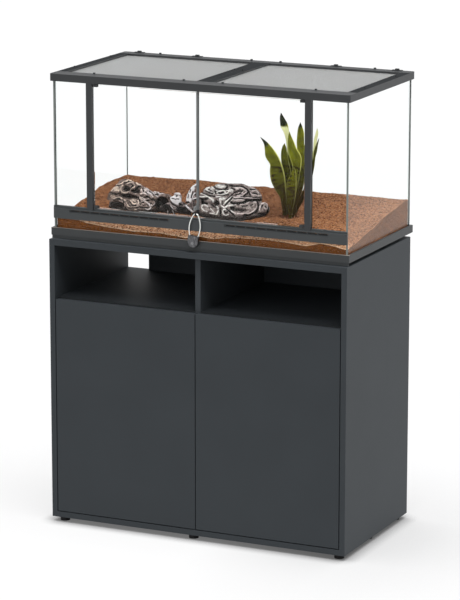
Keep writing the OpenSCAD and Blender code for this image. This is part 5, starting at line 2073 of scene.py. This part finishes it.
    def build(self, finishes: Finishes) -> None:
        """Adds all the leaves as one piece in place of the node.

        Args:
            finishes: The finishes.
        """
        merged: dict[str, list] = {"points": [], "faces": [], "spread": []} | {key: [] for key in self.numbers}
        for leaf in self.leaves:
            one = self.blade(leaf)
            start = len(merged["points"])
            merged["faces"] += [tuple(start + n for n in face) for face in one.pop("faces")]
            for key, values in one.items():
                merged[key] += values
        mesh = bpy.data.meshes.new("plant_leaves")
        mesh.from_pydata(merged["points"], [], merged["faces"])
        mesh.update()
        for key in self.numbers:
            point_number(mesh, key, np.array(merged[key]))
        spread = mesh.uv_layers.new(name="UVMap")
        corners = np.zeros(len(mesh.loops), int)
        mesh.loops.foreach_get("vertex_index", corners)
        spread.data.foreach_set("uv", np.array(merged["spread"], np.float32)[corners].reshape(-1))
        face_outward(mesh, 2e-5)
        shade_smooth(mesh)
        put_piece("plant_leaves", mesh, HOUSING, finishes.leaf, ["plant"])


# ---- Studio ----


@dataclass
class Studio:
    """Floor, world, lamps and camera."""

    sensor: float = 36.0
    ambient: float = 0.42
    key: tuple[float, float, float, float] = (0.31, -0.16, 1.0, 3.2)
    key_angle: float = 50.0
    fill: tuple[float, float, float, float] = (-0.3, -1.0, 0.25, 0.45)
    fill_angle: float = 60.0
    floor_albedo: float = 0.26
    floor_white: float = 0.76
    floor_size: float = 90.0
    # Painted shadows in the floor's glow: reach, darkest share, and the X range over which each fades in.
    floor_shades: tuple[tuple[float, float, float, float], ...] = (
        (0.05, 0.20, -2.0, -1.0), (0.8, 0.56, 0.05, 0.65),
    )

    def camera(self) -> None:
        """Adds the camera at the photograph's place."""
        right, up, ahead = (Vector(axis) for axis in SIGHT.axes())
        data = bpy.data.cameras.new("photo_camera")
        data.sensor_fit = "VERTICAL"
        data.sensor_height = self.sensor
        data.lens = SIGHT.focal_pixels / SIGHT.picture[1] * self.sensor
        data.clip_end = 200.0
        camera = bpy.data.objects.new("photo_camera", data)
        turn = Matrix((right, up, -ahead)).transposed()
        camera.matrix_world = Matrix.Translation(Vector(SIGHT.place_mm) * MM) @ turn.to_4x4()
        bpy.context.scene.collection.objects.link(camera)
        bpy.context.scene.camera = camera

    def world(self) -> None:
        """Sets a world that is white to the camera, to gloss and through glass, and soft to the rest."""
        world = bpy.data.worlds.new("studio_world")
        world.use_nodes = True
        tree = world.node_tree
        tree.nodes.clear()
        rays = tree.nodes.new("ShaderNodeLightPath")
        seen = rays.outputs["Is Camera Ray"]
        for kind in ("Is Transmission Ray", "Is Glossy Ray"):
            either = tree.nodes.new("ShaderNodeMath")
            either.operation = "MAXIMUM"
            tree.links.new(seen, either.inputs[0])
            tree.links.new(rays.outputs[kind], either.inputs[1])
            seen = either.outputs[0]
        soft = tree.nodes.new("ShaderNodeBackground")
        soft.inputs["Strength"].default_value = self.ambient
        white = tree.nodes.new("ShaderNodeBackground")
        white.inputs["Strength"].default_value = 1.0
        both = tree.nodes.new("ShaderNodeMixShader")
        tree.links.new(seen, both.inputs[0])
        tree.links.new(soft.outputs[0], both.inputs[1])
        tree.links.new(white.outputs[0], both.inputs[2])
        output = tree.nodes.new("ShaderNodeOutputWorld")
        tree.links.new(both.outputs[0], output.inputs["Surface"])
        bpy.context.scene.world = world

    def lamp(self, name: str, aim: tuple[float, float, float, float], angle: float) -> None:
        """Adds a distant lamp.

        Args:
            name: Its name.
            aim: Direction that the light comes from, and its strength.
            angle: Apparent width of the lamp, in degrees.
        """
        data = bpy.data.lights.new(name, "SUN")
        data.energy = aim[3]
        data.angle = math.radians(angle)
        lamp = bpy.data.objects.new(name, data)
        lamp.rotation_euler = Vector(aim[:3]).to_track_quat("Z", "Y").to_euler()
        bpy.context.scene.collection.objects.link(lamp)

    def floor(self) -> None:
        """Adds the pale floor, which keeps the object's shadow, and whose glow carries a painted shadow, darker
        close to it.
        """
        shader = Shader("studio_floor")
        rays = shader.add("ShaderNodeLightPath")
        seen = shader.math("MAXIMUM", rays.outputs["Is Camera Ray"], rays.outputs["Is Transmission Ray"])
        seen = shader.math("MAXIMUM", seen, rays.outputs["Is Glossy Ray"])
        mottle_and_painted_shadow = shader.band(shader.noise(0.8, 2.0), 0.3, 0.7, 0.995, 1.0)
        across = shader.split()[0]
        # Painted shadow: each shade darkens the glow by ambient occlusion, weighted across X.
        for reach, darkest, start, end in self.floor_shades:
            nearby = shader.add("ShaderNodeAmbientOcclusion", samples=8)
            nearby.inputs["Distance"].default_value = reach
            shade = shader.band(nearby.outputs["AO"], 0.4, 1.0, 1.0 - darkest, 0.0)
            shade = shader.times(shade, shader.band(across, start, end))
            mottle_and_painted_shadow = shader.times(mottle_and_painted_shadow, shader.math("SUBTRACT", 1.0, shade))
        pale = shader.add("ShaderNodeBsdfDiffuse")
        shader.feed(pale.inputs["Color"], shader.mix(seen, (self.floor_albedo,) * 3, (0.86, 0.86, 0.87)))
        glow = shader.add("ShaderNodeEmission")
        shader.feed(glow.inputs["Strength"], mottle_and_painted_shadow)
        shader.blend(shader.times(seen, self.floor_white), pale, glow)
        half = self.floor_size / 2
        mesh = bpy.data.meshes.new("studio_floor")
        corners = [(-half, -half, 0), (half, -half, 0), (half, half, 0), (-half, half, 0)]
        mesh.from_pydata(corners, [], [(0, 1, 2, 3)])
        mesh.materials.append(shader.material)
        ground = bpy.data.objects.new("studio_floor", mesh)
        bpy.context.scene.collection.objects.link(ground)

    def build(self) -> None:
        """Builds the whole studio."""
        self.camera()
        self.world()
        self.floor()
        self.lamp("key_lamp", self.key, self.key_angle)
        self.lamp("front_lamp", self.fill, self.fill_angle)
        bpy.context.scene.view_settings.view_transform = "Standard"


def main() -> None:
    """Builds the studio and dresses the cabinet, sub-assembly by sub-assembly."""
    logging.basicConfig(level=logging.INFO, format="%(name)s: %(message)s")
    Studio().build()
    finishes = Finishes()
    Cabinet().build(finishes)
    Frames().build(finishes)
    Glazing().build(finishes)
    WireMesh().build(finishes)
    Padlock().build(finishes)
    SandBed().build(finishes)
    Scape().build(finishes)
    Plant().build(finishes)


if __name__ == "__main__":
    main()
